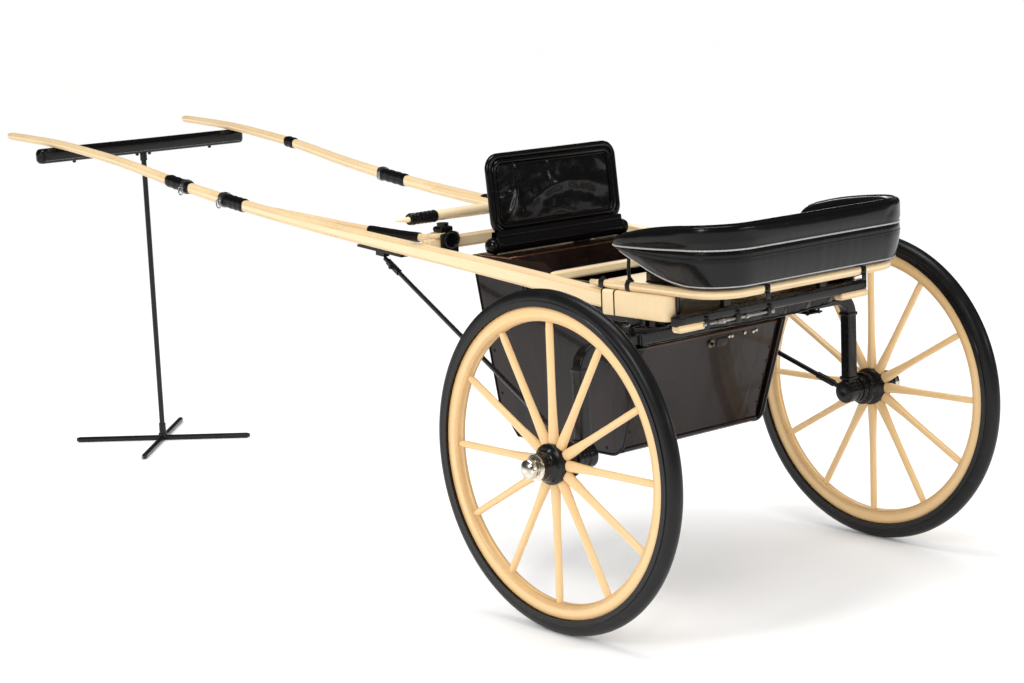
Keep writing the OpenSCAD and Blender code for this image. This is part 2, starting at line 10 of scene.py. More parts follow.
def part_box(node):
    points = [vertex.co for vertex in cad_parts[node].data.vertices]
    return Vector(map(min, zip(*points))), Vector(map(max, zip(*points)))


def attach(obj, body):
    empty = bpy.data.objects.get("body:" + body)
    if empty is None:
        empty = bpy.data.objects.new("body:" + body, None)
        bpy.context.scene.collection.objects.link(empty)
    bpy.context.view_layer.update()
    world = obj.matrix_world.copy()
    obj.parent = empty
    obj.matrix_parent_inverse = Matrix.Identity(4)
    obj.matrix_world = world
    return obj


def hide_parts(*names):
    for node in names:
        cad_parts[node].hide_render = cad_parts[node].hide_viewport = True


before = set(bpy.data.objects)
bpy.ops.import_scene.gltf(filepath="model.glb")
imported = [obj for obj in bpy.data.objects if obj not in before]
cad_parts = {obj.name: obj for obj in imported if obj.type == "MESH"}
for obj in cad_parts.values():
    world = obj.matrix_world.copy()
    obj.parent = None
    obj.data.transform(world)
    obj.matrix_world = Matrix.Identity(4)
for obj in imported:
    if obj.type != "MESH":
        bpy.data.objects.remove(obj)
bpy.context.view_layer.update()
MM = 0.001


# ---------- places, read from the frame ----------
def box(node):
    """Low and high corners of a node."""
    low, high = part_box(node)
    return Vector(low), Vector(high)


def middle(node):
    """Centre of a node's box."""
    low, high = box(node)
    return (low + high) / 2


WHEEL = {side: middle(side + "_tyre") for side in ("left", "right")}
WHEEL_R = (box("left_tyre")[1].z - box("left_tyre")[0].z) / 2
AXLE_Y = WHEEL["left"].y
OUT = {"left": -1.0, "right": 1.0}


def ahead(x, y, z):
    """Point given in millimetres from the middle line, the axle and the ground."""
    return Vector((x * MM, AXLE_Y + y * MM, z * MM))


def rows_along(node, thinnest=0.005):
    """Sections of a long bar: each one's place in Y, then its low and high in X and in Z."""
    rows = {}
    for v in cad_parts[node].data.vertices:
        rows.setdefault(round(v.co.y, 4), []).append(v.co)
    found = []
    for key in sorted(rows):
        points = np.array([list(p) for p in rows[key]])
        (x0, _, z0), (x1, _, z1) = points.min(0), points.max(0)
        if min(x1 - x0, z1 - z0) > thinnest:
            found.append((key, x0, x1, z0, z1))
    return np.array(found)


def angles(count):
    """Equal steps of one whole turn."""
    return [2 * math.pi * k / count for k in range(count)]


def round_end(left, reach, least):
    """Share of the full size at a distance from a rounded end."""
    return math.sqrt(max(1 - (1 - min(left / reach, 1)) ** 2, least))


# ---------- shader maths ----------
class Socket:
    """A shader value; an expression on it adds Math nodes."""

    def __init__(self, paint, link):
        self.paint, self.link = paint, link

    def math(self, operation, *others):
        return self.paint.node("ShaderNodeMath", {"operation": operation}, [self, *others])

    def __add__(self, other):
        return self.math("ADD", other)

    __radd__ = __add__

    def __sub__(self, other):
        return self.math("SUBTRACT", other)

    def __mul__(self, other):
        return self.math("MULTIPLY", other)

    __rmul__ = __mul__

    def step(self, low, high):
        """0 below low, 1 above high, smooth between them."""
        settings = {"interpolation_type": "SMOOTHSTEP"}
        return self.paint.node("ShaderNodeMapRange", settings, [self, low, high, 0.0, 1.0])


class Paint:
    """A material under construction."""

    def __init__(self, name):
        self.material = bpy.data.materials.new(name)
        self.material.use_nodes = True
        self.tree = self.material.node_tree
        self.shader = self.tree.nodes["Principled BSDF"]

    def node(self, kind, settings, inputs=(), output=0):
        made = self.tree.nodes.new(kind)
        for key, value in settings.items():
            setattr(made, key, value)
        pairs = inputs.items() if isinstance(inputs, dict) else enumerate(inputs)
        for key, value in pairs:
            self.put(made.inputs[key], value)
        return Socket(self, made.outputs[output])

    def put(self, socket, value):
        if isinstance(value, Socket):
            self.tree.links.new(value.link, socket)
        elif value is not None:
            if socket.type == "RGBA" and len(value) == 3:
                value = (*value, 1.0)
            socket.default_value = value

    def set(self, **values):
        for key, value in values.items():
            self.put(self.shader.inputs[key.replace("_", " ")], value)
        return self

    def place(self, scale=(1, 1, 1), source="Object"):
        where = self.node("ShaderNodeTexCoord", {}, (), source)
        return self.node("ShaderNodeMapping", {}, {"Vector": where, "Scale": scale})

    def along(self, scale):
        """The piece's own length and girth, in metres, from its UV map."""
        return self.place(scale, "UV")

    def noise(self, where, scale, detail=4.0, rough=0.5, distortion=0.0):
        inputs = {"Vector": where, "Scale": scale, "Detail": detail, "Roughness": rough,
                  "Distortion": distortion}
        return self.node("ShaderNodeTexNoise", {}, inputs)

    def cells(self, where, scale, feature):
        return self.node("ShaderNodeTexVoronoi", {"feature": feature}, {"Vector": where, "Scale": scale})

    def mark(self, name):
        return self.node("ShaderNodeAttribute", {"attribute_name": name}, (), "Fac")

    def mix(self, factor, first, second):
        return self.node("ShaderNodeMix", {"data_type": "RGBA"},
                         {"Factor": factor, 6: first, 7: second}, 2)

    def bump(self, height, strength, distance):
        normal = self.node("ShaderNodeBump", {}, {"Height": height, "Strength": strength,
                                                   "Distance": distance})
        self.put(self.shader.inputs["Normal"], normal)
        return self


def cream_wood(name, body, worn):
    """Enamelled ash: long faint grain, brush marks, tan where the paint thins at edges."""
    paint = Paint(name)
    grain = paint.noise(paint.along((3.0, 60.0, 1.0)), 4.0, 6.0, 0.6, 0.4)
    cloud = paint.noise(paint.place(), 5.0, 3.0)
    fleck = paint.noise(paint.place(), 140.0, 3.0, 0.7)
    edge = paint.mark("edge")
    wear = (edge * 0.85 + cloud * 0.5 - 0.25 + (fleck - 0.5) * 0.35).step(0.25, 1.0)
    tint = paint.mix((grain * 0.6 + cloud * 0.5 - 0.05).step(0.25, 0.8), body,
                     tuple(c * k for c, k in zip(body, (1.06, 1.13, 1.3))))
    colour = paint.mix(wear * 0.75, tint, worn)
    speck = (fleck - 0.69).step(0.0, 0.05) * 0.35
    colour = paint.mix(speck, colour, tuple(c * 0.4 for c in worn))
    paint.set(Base_Color=colour, Roughness=(0.3 + grain * 0.14 + wear * 0.12), Coat_Weight=0.35,
              Coat_Roughness=0.12)
    paint.bump(grain * 0.5 + fleck * 0.25, 0.16, 0.0006)
    return paint.material


def black_iron(name, shine):
    """Brush-painted iron: patchy dust, and bare grey in rubbed patches."""
    paint = Paint(name)
    cloud = paint.noise(paint.place(), 16.0, 4.0)
    fine = paint.noise(paint.place(), 240.0, 4.0, 0.65)
    rubbed = (cloud * 0.7 + fine * 0.5 - 0.74).step(0.0, 0.12)
    patchy = (fine * 0.5 + cloud * 0.4).step(0.3, 0.7)
    colour = paint.mix(patchy, (0.004, 0.004, 0.0045), (0.012, 0.011, 0.011))
    colour = paint.mix(rubbed * 0.35, colour, (0.06, 0.055, 0.05))
    paint.set(Base_Color=colour, Roughness=(shine + cloud * 0.16 + rubbed * 0.15), Metallic=0.0,
              Specular_IOR_Level=0.28, Coat_Weight=0.14, Coat_Roughness=0.12)
    paint.bump(cloud * 0.6 + fine * 0.4, 0.2, 0.0008)
    return paint.material


def leather(name, shine, crease, base=(0.0035, 0.003, 0.003), rub=(0.014, 0.008, 0.006)):
    """Black patent leather: fine pebble under the gloss, soft creases, brown where it is rubbed."""
    paint = Paint(name)
    where = paint.place()
    pebble = paint.cells(where, 650.0, "SMOOTH_F1")
    creases = paint.cells(paint.place((1.0, 1.0, 1.6)), 22.0, "DISTANCE_TO_EDGE")
    soft = paint.noise(where, 9.0, 4.0, 0.55, 0.6)
    fine = paint.noise(where, 160.0, 3.0)
    rubbed = (soft * 0.8 + fine * 0.4 - 0.72).step(0.0, 0.2)
    colour = paint.mix(rubbed * 0.5, base, rub)
    paint.set(Base_Color=colour, Roughness=(shine + soft * 0.12 + rubbed * 0.06), Specular_IOR_Level=0.2,
              Coat_Weight=0.2, Coat_Roughness=0.08)
    line = creases.step(0.0, 0.06) * crease
    paint.bump(pebble * 0.1 + line * 0.35 + soft * 0.5 + fine * 0.06, 0.25, 0.003)
    return paint.material


def dark_enamel(name):
    """Very dark brown coach enamel on board: deep gloss, faint ripple and craze."""
    paint = Paint(name)
    where = paint.place()
    ripple = paint.noise(paint.place((1.0, 1.0, 0.5)), 7.0, 3.0, 0.5, 1.2)
    fine = paint.noise(where, 210.0, 3.0)
    scuff = (paint.noise(where, 24.0, 5.0, 0.7) * 0.8 + fine * 0.4 - 0.72).step(0.0, 0.14)
    colour = paint.mix(ripple.step(0.3, 0.75), (0.005, 0.0028, 0.0026), (0.018, 0.008, 0.006))
    colour = paint.mix(scuff * 0.4, colour, (0.05, 0.028, 0.02))
    paint.set(Base_Color=colour, Roughness=(0.14 + ripple * 0.16 + scuff * 0.2), Specular_IOR_Level=0.22,
              Coat_Weight=0.22, Coat_Roughness=0.05)
    paint.bump(ripple * 3.0 + fine * 0.05, 0.22, 0.004)
    return paint.material


def tyre_rubber(name):
    """Solid rubber: satin black with dust greyed into fine scuffs."""
    paint = Paint(name)
    dust = paint.noise(paint.place(), 14.0, 5.0, 0.65)
    fine = paint.noise(paint.place(), 320.0, 3.0)
    grey = (dust * 0.7 + fine * 0.5 - 0.62).step(0.0, 0.25)
    colour = paint.mix(grey * 0.5, (0.0055, 0.0055, 0.006), (0.03, 0.029, 0.028))
    paint.set(Base_Color=colour, Roughness=(0.3 + dust * 0.2), Specular_IOR_Level=0.25, Coat_Weight=0.1,
              Coat_Roughness=0.2)
    paint.bump(fine * 0.5 + dust * 0.6, 0.2, 0.0007)
    return paint.material


def metal(name, colour, tarnish, rough):
    """Plated or bare bright metal with tarnish in patches."""
    paint = Paint(name)
    patch = paint.noise(paint.place(), 70.0, 5.0, 0.6)
    fine = paint.noise(paint.place(), 500.0, 2.0)
    stain = (patch * 0.8 + fine * 0.3 - 0.45).step(0.0, 0.3)
    paint.set(Base_Color=paint.mix(stain * 0.7, colour, tarnish), Metallic=1.0,
              Roughness=(rough + stain * 0.25 + fine * 0.06))
    paint.bump(fine * 0.4 + patch, 0.15, 0.0006)
    return paint.material


CREAM = cream_wood("cream_enamel", (0.84, 0.64, 0.365), (0.52, 0.3, 0.1))
# The wheels get a darker, more orange copy of the cream enamel: painted shade for the wheels, which sit low
# on the shadowed side.
SHADED_WHEEL_CREAM = cream_wood("cream_wheel_enamel_painted_shade", (0.79, 0.52, 0.235), (0.46, 0.23, 0.06))
IRON = black_iron("black_ironwork", 0.2)
DULL_IRON = black_iron("black_irons_worn", 0.34)
LEATHER = leather("patent_leather", 0.13, 0.5)
SEAT_LEATHER = leather("seat_leather", 0.2, 0.3)
WRAP_LEATHER = leather("strap_leather", 0.36, 1.0)
ENAMEL = dark_enamel("coach_enamel")
RUBBER = tyre_rubber("solid_rubber")
NICKEL = metal("nickel_plate", (0.78, 0.75, 0.68), (0.42, 0.36, 0.25), 0.14)
TARNISHED = metal("tarnished_plate", (0.16, 0.14, 0.11), (0.05, 0.04, 0.03), 0.3)
STEEL = metal("rubbed_steel", (0.42, 0.42, 0.43), (0.12, 0.1, 0.09), 0.28)
# Copper-brown metal for the cowl's top bead: its colour is a painted highlight line along that edge.
COPPER_HIGHLIGHT_METAL = metal("copper_highlight_bead", (0.36, 0.16, 0.085), (0.1, 0.04, 0.025), 0.26)
# Brown leather for the door's rolled top edge: its brown colour and lighter rubbed patches are a painted
# highlight along that edge.
BROWN_HIGHLIGHT_LEATHER = leather("brown_painted_highlight_leather", 0.3, 0.6, (0.06, 0.03, 0.018), (0.13, 0.075, 0.05))


def grey_piping():
    """Pale waxed cord; on the cowl apron's low bead the pale colour is a painted highlight."""
    paint = Paint("piping_cord")
    fine = paint.noise(paint.place(), 260.0, 3.0)
    colour = paint.mix(fine.step(0.3, 0.7), (0.32, 0.31, 0.3), (0.5, 0.49, 0.47))
    paint.set(Base_Color=colour, Roughness=(0.3 + fine * 0.15), Coat_Weight=0.2)
    paint.bump(fine, 0.2, 0.0005)
    return paint.material


PIPING = grey_piping()


# ---------- mesh tools ----------
class Stock:
    """Points and faces of one piece, with length-and-girth coordinates and edge wear."""

    def __init__(self):
        self.points, self.faces, self.uvs, self.wear = [], [], [], []

    def strip(self, rings, wear, closed=True, looped=False, lengths=None, caps=True):
        """Skin over rings of equal count; closed joins each ring's ends, looped joins last to first."""
        rings = [[Vector(p) for p in ring] for ring in rings]
        start, count = len(self.points), len(rings[0])
        for ring in rings:
            self.points += ring
            self.wear += list(wear)
        girth = [0.0]
        for j in range(count):
            girth.append(girth[-1] + (rings[0][(j + 1) % count] - rings[0][j]).length)
        if lengths is None:
            lengths = [0.0]
            for i in range(len(rings)):
                step = (rings[(i + 1) % len(rings)][0] - rings[i][0]).length
                lengths.append(lengths[-1] + step)
        for i in range(len(rings) if looped else len(rings) - 1):
            near, far = start + i * count, start + ((i + 1) % len(rings)) * count
            for j in range(count if closed else count - 1):
                k = (j + 1) % count
                self.faces.append((near + j, near + k, far + k, far + j))
                self.uvs.append([(lengths[i], girth[j]), (lengths[i], girth[j + 1]),
                                 (lengths[i + 1], girth[j + 1]), (lengths[i + 1], girth[j])])
        if caps and closed and not looped:
            for i in (0, len(rings) - 1):
                first = start + i * count
                self.faces.append(tuple(range(first, first + count)))
                self.uvs.append([(p.y, p.z) for p in rings[i]])
        return self

    def mesh(self, name):
        mesh = bpy.data.meshes.new(name)
        mesh.from_pydata(self.points, [], self.faces)
        layer = mesh.uv_layers.new(name="UVMap")
        layer.data.foreach_set("uv", [c for face in self.uvs for corner in face for c in corner])
        mark = mesh.attributes.new("edge", "FLOAT", "POINT")
        mark.data.foreach_set("value", self.wear)
        work = bmesh.new()
        work.from_mesh(mesh)
        bmesh.ops.remove_doubles(work, verts=work.verts, dist=1e-6)
        bmesh.ops.dissolve_degenerate(work, edges=work.edges, dist=1e-6)
        bmesh.ops.recalc_face_normals(work, faces=work.faces)
        work.to_mesh(mesh)
        work.free()
        return mesh


def new_object(name, data):
    """Object in the scene, at the origin."""
    obj = bpy.data.objects.new(name, data)
    bpy.context.scene.collection.objects.link(obj)
    return obj


def settled_mesh(obj):
    """The object's mesh with its modifiers carried out."""
    graph = bpy.context.evaluated_depsgraph_get()
    graph.update()
    return bpy.data.meshes.new_from_object(obj.evaluated_get(graph))


def finish_piece(obj, material, body, sharp=38):
    """Paints and shades a piece, and says what it is made of and what it moves with."""
    if not obj.data.materials:
        obj.data.materials.append(material)
    obj.data.shade_smooth()
    if sharp:
        obj.data.set_sharp_from_angle(angle=math.radians(sharp))
    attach(obj, body)
    return obj


def piece(name, stock, material, body="chassis", sharp=38):
    """Stock made into a finished piece."""
    return finish_piece(new_object(name, stock.mesh(name)), material, body, sharp)


def rounded(width, height, radius, arc=3):
    """Rounded rectangle as (side, up) offsets and the wear of each point, high on its corners."""
    radius = min(radius, width * 0.49, height * 0.49)
    points, wear = [], []
    for corner in range(4):
        turn = corner * math.pi / 2
        cx = (width / 2 - radius) * (1, -1, -1, 1)[corner]
        cz = (height / 2 - radius) * (1, 1, -1, -1)[corner]
        for k in range(arc + 1):
            a = turn + k / arc * math.pi / 2
            points.append((cx + radius * math.cos(a), cz + radius * math.sin(a)))
            wear.append(0.75)
        span = (width - 2 * radius) if corner % 2 == 0 else (height - 2 * radius)
        shift = min(0.006, span * 0.3)
        along = ((-1, 0), (0, -1), (1, 0), (0, 1))[corner]
        last = points[-1]
        points.append((last[0] + along[0] * shift, last[1] + along[1] * shift))
        points.append((last[0] + along[0] * (span - shift), last[1] + along[1] * (span - shift)))
        wear += [0.05, 0.05]
    return points, wear


def ellipse(width, height, count=20):
    """Elliptical section, evenly worn."""
    points = [(width / 2 * math.cos(a), height / 2 * math.sin(a)) for a in angles(count)]
    return points, [0.15] * count


def sweep(stock, path, section, up=(0, 0, 1), looped=False):
    """Carries a section along a path. section is (points, wear), or a function of (index, share)."""
    path = [Vector(p) for p in path]
    rings, lengths, wear = [], [0.0], None
    for i, point in enumerate(path):
        before = path[i - 1] if i or looped else point
        after = path[(i + 1) % len(path)] if i + 1 < len(path) or looped else point
        ahead_way = (after - before).normalized()
        side = ahead_way.cross(Vector(up)).normalized()
        top = side.cross(ahead_way).normalized()
        shape = section(i, i / (len(path) - 1)) if callable(section) else section
        wear = shape[1]
        rings.append([point + side * a + top * b for a, b in shape[0]])
        lengths.append(lengths[-1] + (path[(i + 1) % len(path)] - point).length)
    return stock.strip(rings, wear, looped=looped, lengths=lengths)


def lathe(stock, profile, centre, out, steps=144, closed=True):
    """Turned shape round an axle: profile points are (radius, distance outward, wear)."""
    wear = [p[2] for p in profile]
    rings = [[centre + Vector((out * x, r * math.sin(a), r * math.cos(a))) for r, x, _ in profile]
             for a in angles(steps)]
    radius = max(p[0] for p in profile)
    lengths = [2 * math.pi * radius * i / steps for i in range(steps + 1)]
    return stock.strip(rings, wear, closed=closed, looped=True, lengths=lengths)


def soft_profile(outline, radius, arc=3):
    """Closed profile with each corner rounded; the wear is high on the corners."""
    made = []
    count = len(outline)
    for i in range(count):
        before, here, after = (Vector(outline[(i + k) % count]) for k in (-1, 0, 1))
        start = here + (before - here).normalized() * min(radius, (before - here).length * 0.45)
        end = here + (after - here).normalized() * min(radius, (after - here).length * 0.45)
        for k in range(arc + 1):
            t = k / arc
            p = start * (1 - t) ** 2 + here * 2 * t * (1 - t) + end * t ** 2
            made.append((p.x, p.y, 0.8))
        middle_point = (end + Vector(outline[(i + 1) % count])) / 2
        made.append((middle_point.x, middle_point.y, 0.05))
    return made


def arc_points(centre, radius, start, end, count):
    """Points on a level arc, angles in degrees from +X towards +Y."""
    return [centre + Vector((math.cos(math.radians(start + (end - start) * k / count)),
                             math.sin(math.radians(start + (end - start) * k / count)), 0)) * radius
            for k in range(count + 1)]


def u_path(half, rear, corner, front, z, count=14):
    """Level path from the left front end, round the rear, to the right front end, in millimetres."""
    straight = [ahead(-half, front + (corner - rear - front) * k / 8, z) for k in range(8)]
    left = arc_points(ahead(corner - half, corner - rear, z), corner * MM, 180, 270, count)
    across = [ahead((corner - half) + 2 * (half - corner) * k / 12, -rear, z) for k in range(1, 12)]
    right = arc_points(ahead(half - corner, corner - rear, z), corner * MM, 270, 360, count)
    back = [ahead(half, front + (corner - rear - front) * k / 8, z) for k in range(7, -1, -1)]
    return straight + left + across + right + back


def smooth(values, places, wanted):
    """Smooth curve through a few (place, value) pairs."""
    values, places = np.array(values, float), np.array(places, float)
    slopes = np.gradient(values, places)
    index = np.clip(np.searchsorted(places, wanted) - 1, 0, len(places) - 2)
    span = places[index + 1] - places[index]
    t = np.clip((wanted - places[index]) / span, 0, 1)
    return ((2 * t ** 3 - 3 * t ** 2 + 1) * values[index] + (t ** 3 - 2 * t ** 2 + t) * span * slopes[index]
            + (3 * t ** 2 - 2 * t ** 3) * values[index + 1] + (t ** 3 - t ** 2) * span * slopes[index + 1])


def block_mesh(stock, low, high, radius):
    """Board or block between two corners with all its edges rounded."""
    low, high = Vector(low), Vector(high)
    size = high - low
    centre = (low + high) / 2
    radius = min(radius, min(size) * 0.45)
    long_axis = max(range(3), key=lambda i: size[i])
    a, b = [i for i in range(3) if i != long_axis]
    stations = [(-size[long_axis] / 2 + radius * (1 - math.cos(math.pi / 2 * k / 3)),
                 radius * (1 - math.sin(math.pi / 2 * k / 3))) for k in range(4)]
    stations += [(-p, inset) for p, inset in reversed(stations)]
    rings = []
    for place, inset in stations:
        ring, wear = rounded(size[a] - 2 * inset, size[b] - 2 * inset, radius * 0.999 + 1e-5)
        made = []
        for u, v in ring:
            p = Vector((0, 0, 0))
            p[long_axis], p[a], p[b] = place, u, v
            made.append(centre + p)
        rings.append(made)
    return stock.strip(rings, wear)


def tube(stock, path, radius, up=(0, 0, 1), count=12, looped=False):
    """Round bar along a path."""
    return sweep(stock, path, ellipse(2 * radius, 2 * radius, count), up, looped)


def line(start, end, count=2):
    """Evenly spaced points from start to end."""
    return [Vector(start).lerp(Vector(end), k / (count - 1)) for k in range(count)]


# ---------- Geometry Nodes tools ----------
class Plan:
    """A Geometry Nodes tree under construction, with named inputs."""

    def __init__(self, name, **inputs):
        self.tree = bpy.data.node_groups.new(name, "GeometryNodeTree")
        face = self.tree.interface
        face.new_socket("Geometry", in_out="INPUT", socket_type="NodeSocketGeometry")
        self.keys = {}
        for label, kind in inputs.items():
            made = face.new_socket(label, in_out="INPUT", socket_type="NodeSocket" + kind)
            self.keys[label] = made.identifier
        face.new_socket("Geometry", in_out="OUTPUT", socket_type="NodeSocketGeometry")
        self.given = self.tree.nodes.new("NodeGroupInput").outputs
        self.result = self.tree.nodes.new("NodeGroupOutput").inputs[0]

    def node(self, kind, settings=None, inputs=None, output=0):
        made = self.tree.nodes.new(kind)
        for key, value in (settings or {}).items():
            setattr(made, key, value)
        for key, value in (inputs or {}).items():
            if isinstance(value, bpy.types.NodeSocket):
                self.tree.links.new(value, made.inputs[key])
            else:
                made.inputs[key].default_value = value
        return made.outputs[output]

    def times(self, first, second):
        return self.node("ShaderNodeMath", {"operation": "MULTIPLY"}, {0: first, 1: second})

    def end(self, instances):
        """Makes the instances real, paints them and hands them out."""
        real = self.node("GeometryNodeRealizeInstances", {}, {0: instances})
        inputs = {"Geometry": real, "Material": self.given["Material"]}
        done = self.node("GeometryNodeSetMaterial", {}, inputs)
        self.tree.links.new(done, self.result)
        return self

    def grow(self, name, seed, values, slot, body, sharp=38):
        """Runs the tree on a seed mesh and keeps the result as a plain piece."""
        holder = new_object(name + "_seed", seed)
        made = holder.modifiers.new("grow", "NODES")
        made.node_group = self.tree
        for label, value in values.items():
            made[self.keys[label]] = value
        mesh = settled_mesh(holder)
        bpy.data.objects.remove(holder)
        mesh.name = name
        return finish_piece(new_object(name, mesh), values["Material"], body, sharp)


def copies_round_axle():
    """Copies of one shape turned round the X axis through a centre."""
    plan = Plan("copies_round_axle", Count="Int", Phase="Float", Centre="Vector", Material="Material")
    given = plan.given
    dots = plan.node("GeometryNodePoints", {}, {"Count": given["Count"], "Position": given["Centre"]})
    index = plan.node("GeometryNodeInputIndex")
    share = plan.node("ShaderNodeMath", {"operation": "DIVIDE"}, {0: index, 1: given["Count"]})
    turn = plan.node("ShaderNodeMath", {"operation": "MULTIPLY_ADD"},
                     {0: share, 1: 2 * math.pi, 2: given["Phase"]})
    spin = plan.node("ShaderNodeCombineXYZ", {}, {"X": turn})
    inputs = {"Points": dots, "Instance": given["Geometry"], "Rotation": spin}
    return plan.end(plan.node("GeometryNodeInstanceOnPoints", {}, inputs))


def heads_on_points():
    """Domed or six-sided heads, one on each seed point, facing the point's own way."""
    plan = Plan("heads_on_points", Radius="Float", Height="Float", Sides="Int", Material="Material")
    given = plan.given
    facing = plan.node("GeometryNodeInputNamedAttribute", {"data_type": "FLOAT_VECTOR"}, {"Name": "facing"})
    turn = plan.node("FunctionNodeAlignEulerToVector", {"axis": "Z"}, {"Vector": facing})
    base = plan.node("GeometryNodeMeshCone", {}, {
        "Vertices": given["Sides"], "Radius Top": given["Radius"], "Radius Bottom": given["Radius"],
        "Depth": given["Height"]})
    dome = plan.node("GeometryNodeMeshCone", {}, {
        "Vertices": 12, "Radius Top": plan.times(given["Radius"], 0.4),
        "Radius Bottom": plan.times(given["Radius"], 0.82), "Depth": plan.times(given["Height"], 0.5)})
    lift = plan.node("ShaderNodeCombineXYZ", {}, {"Z": given["Height"]})
    raised = plan.node("GeometryNodeTransform", {}, {"Geometry": dome, "Translation": lift})
    whole = plan.tree.nodes.new("GeometryNodeJoinGeometry")
    for part in (base, raised):
        plan.tree.links.new(part, whole.inputs[0])
    inputs = {"Points": given["Geometry"], "Instance": whole.outputs[0], "Rotation": turn}
    return plan.end(plan.node("GeometryNodeInstanceOnPoints", {}, inputs))


def stitches_on_path():
    """Short thread stitches laid end to end along a seed path."""
    plan = Plan("stitches_on_path", Pitch="Float", Thickness="Float", Material="Material")
    given = plan.given
    curve = plan.node("GeometryNodeMeshToCurve", {}, {"Mesh": given["Geometry"]})
    dots = plan.tree.nodes.new("GeometryNodeCurveToPoints")
    dots.mode = "LENGTH"
    plan.tree.links.new(curve, dots.inputs["Curve"])
    plan.tree.links.new(given["Pitch"], dots.inputs["Length"])
    turn = plan.node("FunctionNodeAlignEulerToVector", {"axis": "X"}, {"Vector": dots.outputs["Tangent"]})
    long, thin = plan.times(given["Pitch"], 0.62), given["Thickness"]
    size = plan.node("ShaderNodeCombineXYZ", {}, {"X": long, "Y": thin, "Z": thin})
    bead = plan.node("GeometryNodeMeshUVSphere", {}, {"Segments": 6, "Rings": 4, "Radius": 0.5})
    inputs = {"Points": dots.outputs["Points"], "Instance": bead, "Rotation": turn, "Scale": size}
    return plan.end(plan.node("GeometryNodeInstanceOnPoints", {}, inputs))


def cord_on_path():
    """Round piping cord along a seed path."""
    plan = Plan("cord_on_path", Radius="Float", Material="Material")
    given = plan.given
    curve = plan.node("GeometryNodeMeshToCurve", {}, {"Mesh": given["Geometry"]})
    ring = plan.node("GeometryNodeCurvePrimitiveCircle", {}, {"Resolution": 8, "Radius": given["Radius"]})
    inputs = {"Curve": curve, "Profile Curve": ring, "Fill Caps": True}
    return plan.end(plan.node("GeometryNodeCurveToMesh", {}, inputs))


RING, HEADS, STITCHES, CORD = copies_round_axle(), heads_on_points(), stitches_on_path(), cord_on_path()


def path_mesh(paths, looped=False):
    """Edges along each path, as the seed for a cord or stitches."""
    mesh = bpy.data.meshes.new("path")
    points, edges = [], []
    for path in paths:
        start = len(points)
        points += [tuple(p) for p in path]
        edges += [(start + i, start + i + 1) for i in range(len(path) - 1)]
        if looped:
            edges.append((len(points) - 1, start))
    mesh.from_pydata(points, edges, [])
    return mesh


def heads(name, spots, radius, height, sides, material, slot, body="chassis"):
    """spots is a list of (place, facing)."""
    mesh = bpy.data.meshes.new("spots")
    mesh.from_pydata([tuple(p) for p, _ in spots], [], [])
    facing = mesh.attributes.new("facing", "FLOAT_VECTOR", "POINT")
    facing.data.foreach_set("vector", [c for _, way in spots for c in way])
    values = {"Radius": radius, "Height": height, "Sides": sides, "Material": material}
    return HEADS.grow(name, mesh, values, slot, body, 30)


def cord(name, paths, radius, material, slot, body="chassis", looped=False):
    """Piping, welts or beads along paths, as one piece."""
    values = {"Radius": radius, "Material": material}
    return CORD.grow(name, path_mesh(paths, looped), values, slot, body, 0)


def stitches(name, paths, pitch, thickness, material, slot, body="chassis"):
    """Rows of thread stitches along paths, as one piece."""
    values = {"Pitch": pitch, "Thickness": thickness, "Material": material}
    return STITCHES.grow(name, path_mesh(paths), values, slot, body, 0)


def swell(obj, pins, pressure, cap, frames=16, stiffness=12.0):
    """Inflates a closed leather skin between its pinned seams by cloth simulation, and keeps the shape."""
    scene = bpy.context.scene
    rest = [v.co.copy() for v in obj.data.vertices]
    group = obj.vertex_groups.new(name="seams")
    for index, weight in pins.items():
        group.add([index], weight, "REPLACE")
    cloth = obj.modifiers.new("skin", "CLOTH")
    rule = cloth.settings
    rule.quality = 4
    rule.tension_stiffness = rule.compression_stiffness = stiffness
    rule.shear_stiffness = stiffness * 0.6
    rule.bending_stiffness = 0.8
    rule.vertex_group_mass = "seams"
    rule.pin_stiffness = 1.0
    rule.use_pressure = True
    rule.uniform_pressure_force = pressure
    rule.effector_weights.gravity = 0.0
    cloth.point_cache.frame_start = 1
    cloth.point_cache.frame_end = frames
    for step in range(1, frames + 1):
        scene.frame_set(step)
    graph = bpy.context.evaluated_depsgraph_get()
    shaped = obj.evaluated_get(graph).to_mesh()
    moved = [v.co.copy() for v in shaped.vertices]
    obj.evaluated_get(graph).to_mesh_clear()
    obj.modifiers.remove(cloth)
    obj.vertex_groups.remove(group)
    scene.frame_set(1)
    for vertex, old, new in zip(obj.data.vertices, rest, moved):
        step = new - old
        if step.length > cap:
            step *= cap / step.length
        vertex.co = old + step
    return obj


# ---------- wheels ----------
TYRE_W, TYRE_DEEP, CHANNEL_T = 0.05, 0.045, 0.005
FELLOE_W, FELLOE_DEEP = 0.038, 0.046
CHANNEL_R = WHEEL_R - TYRE_DEEP
FELLOE_R = CHANNEL_R - CHANNEL_T
FELLOE_IN = FELLOE_R - FELLOE_DEEP
HUB_R, HUB_BACK, BORE_R, CAP_X = 0.062, -0.085, 0.0163, 0.075
SPOKES = 12
RIM_STEPS = 180


def tyre_profile():
    """Half-round tyre with its foot tucked into the channel."""
    crown = TYRE_W / 2
    points = [(CHANNEL_R + 0.0015, -crown + 0.002), (CHANNEL_R + 0.006, -crown + 0.0002)]
    for k in range(13):
        a = math.pi * k / 12
        points.append((WHEEL_R - crown + crown * math.sin(a), -crown * math.cos(a)))
    points += [(CHANNEL_R + 0.006, crown - 0.0002), (CHANNEL_R + 0.0015, crown - 0.002)]
    return [(r, x, 0.0) for r, x in points]


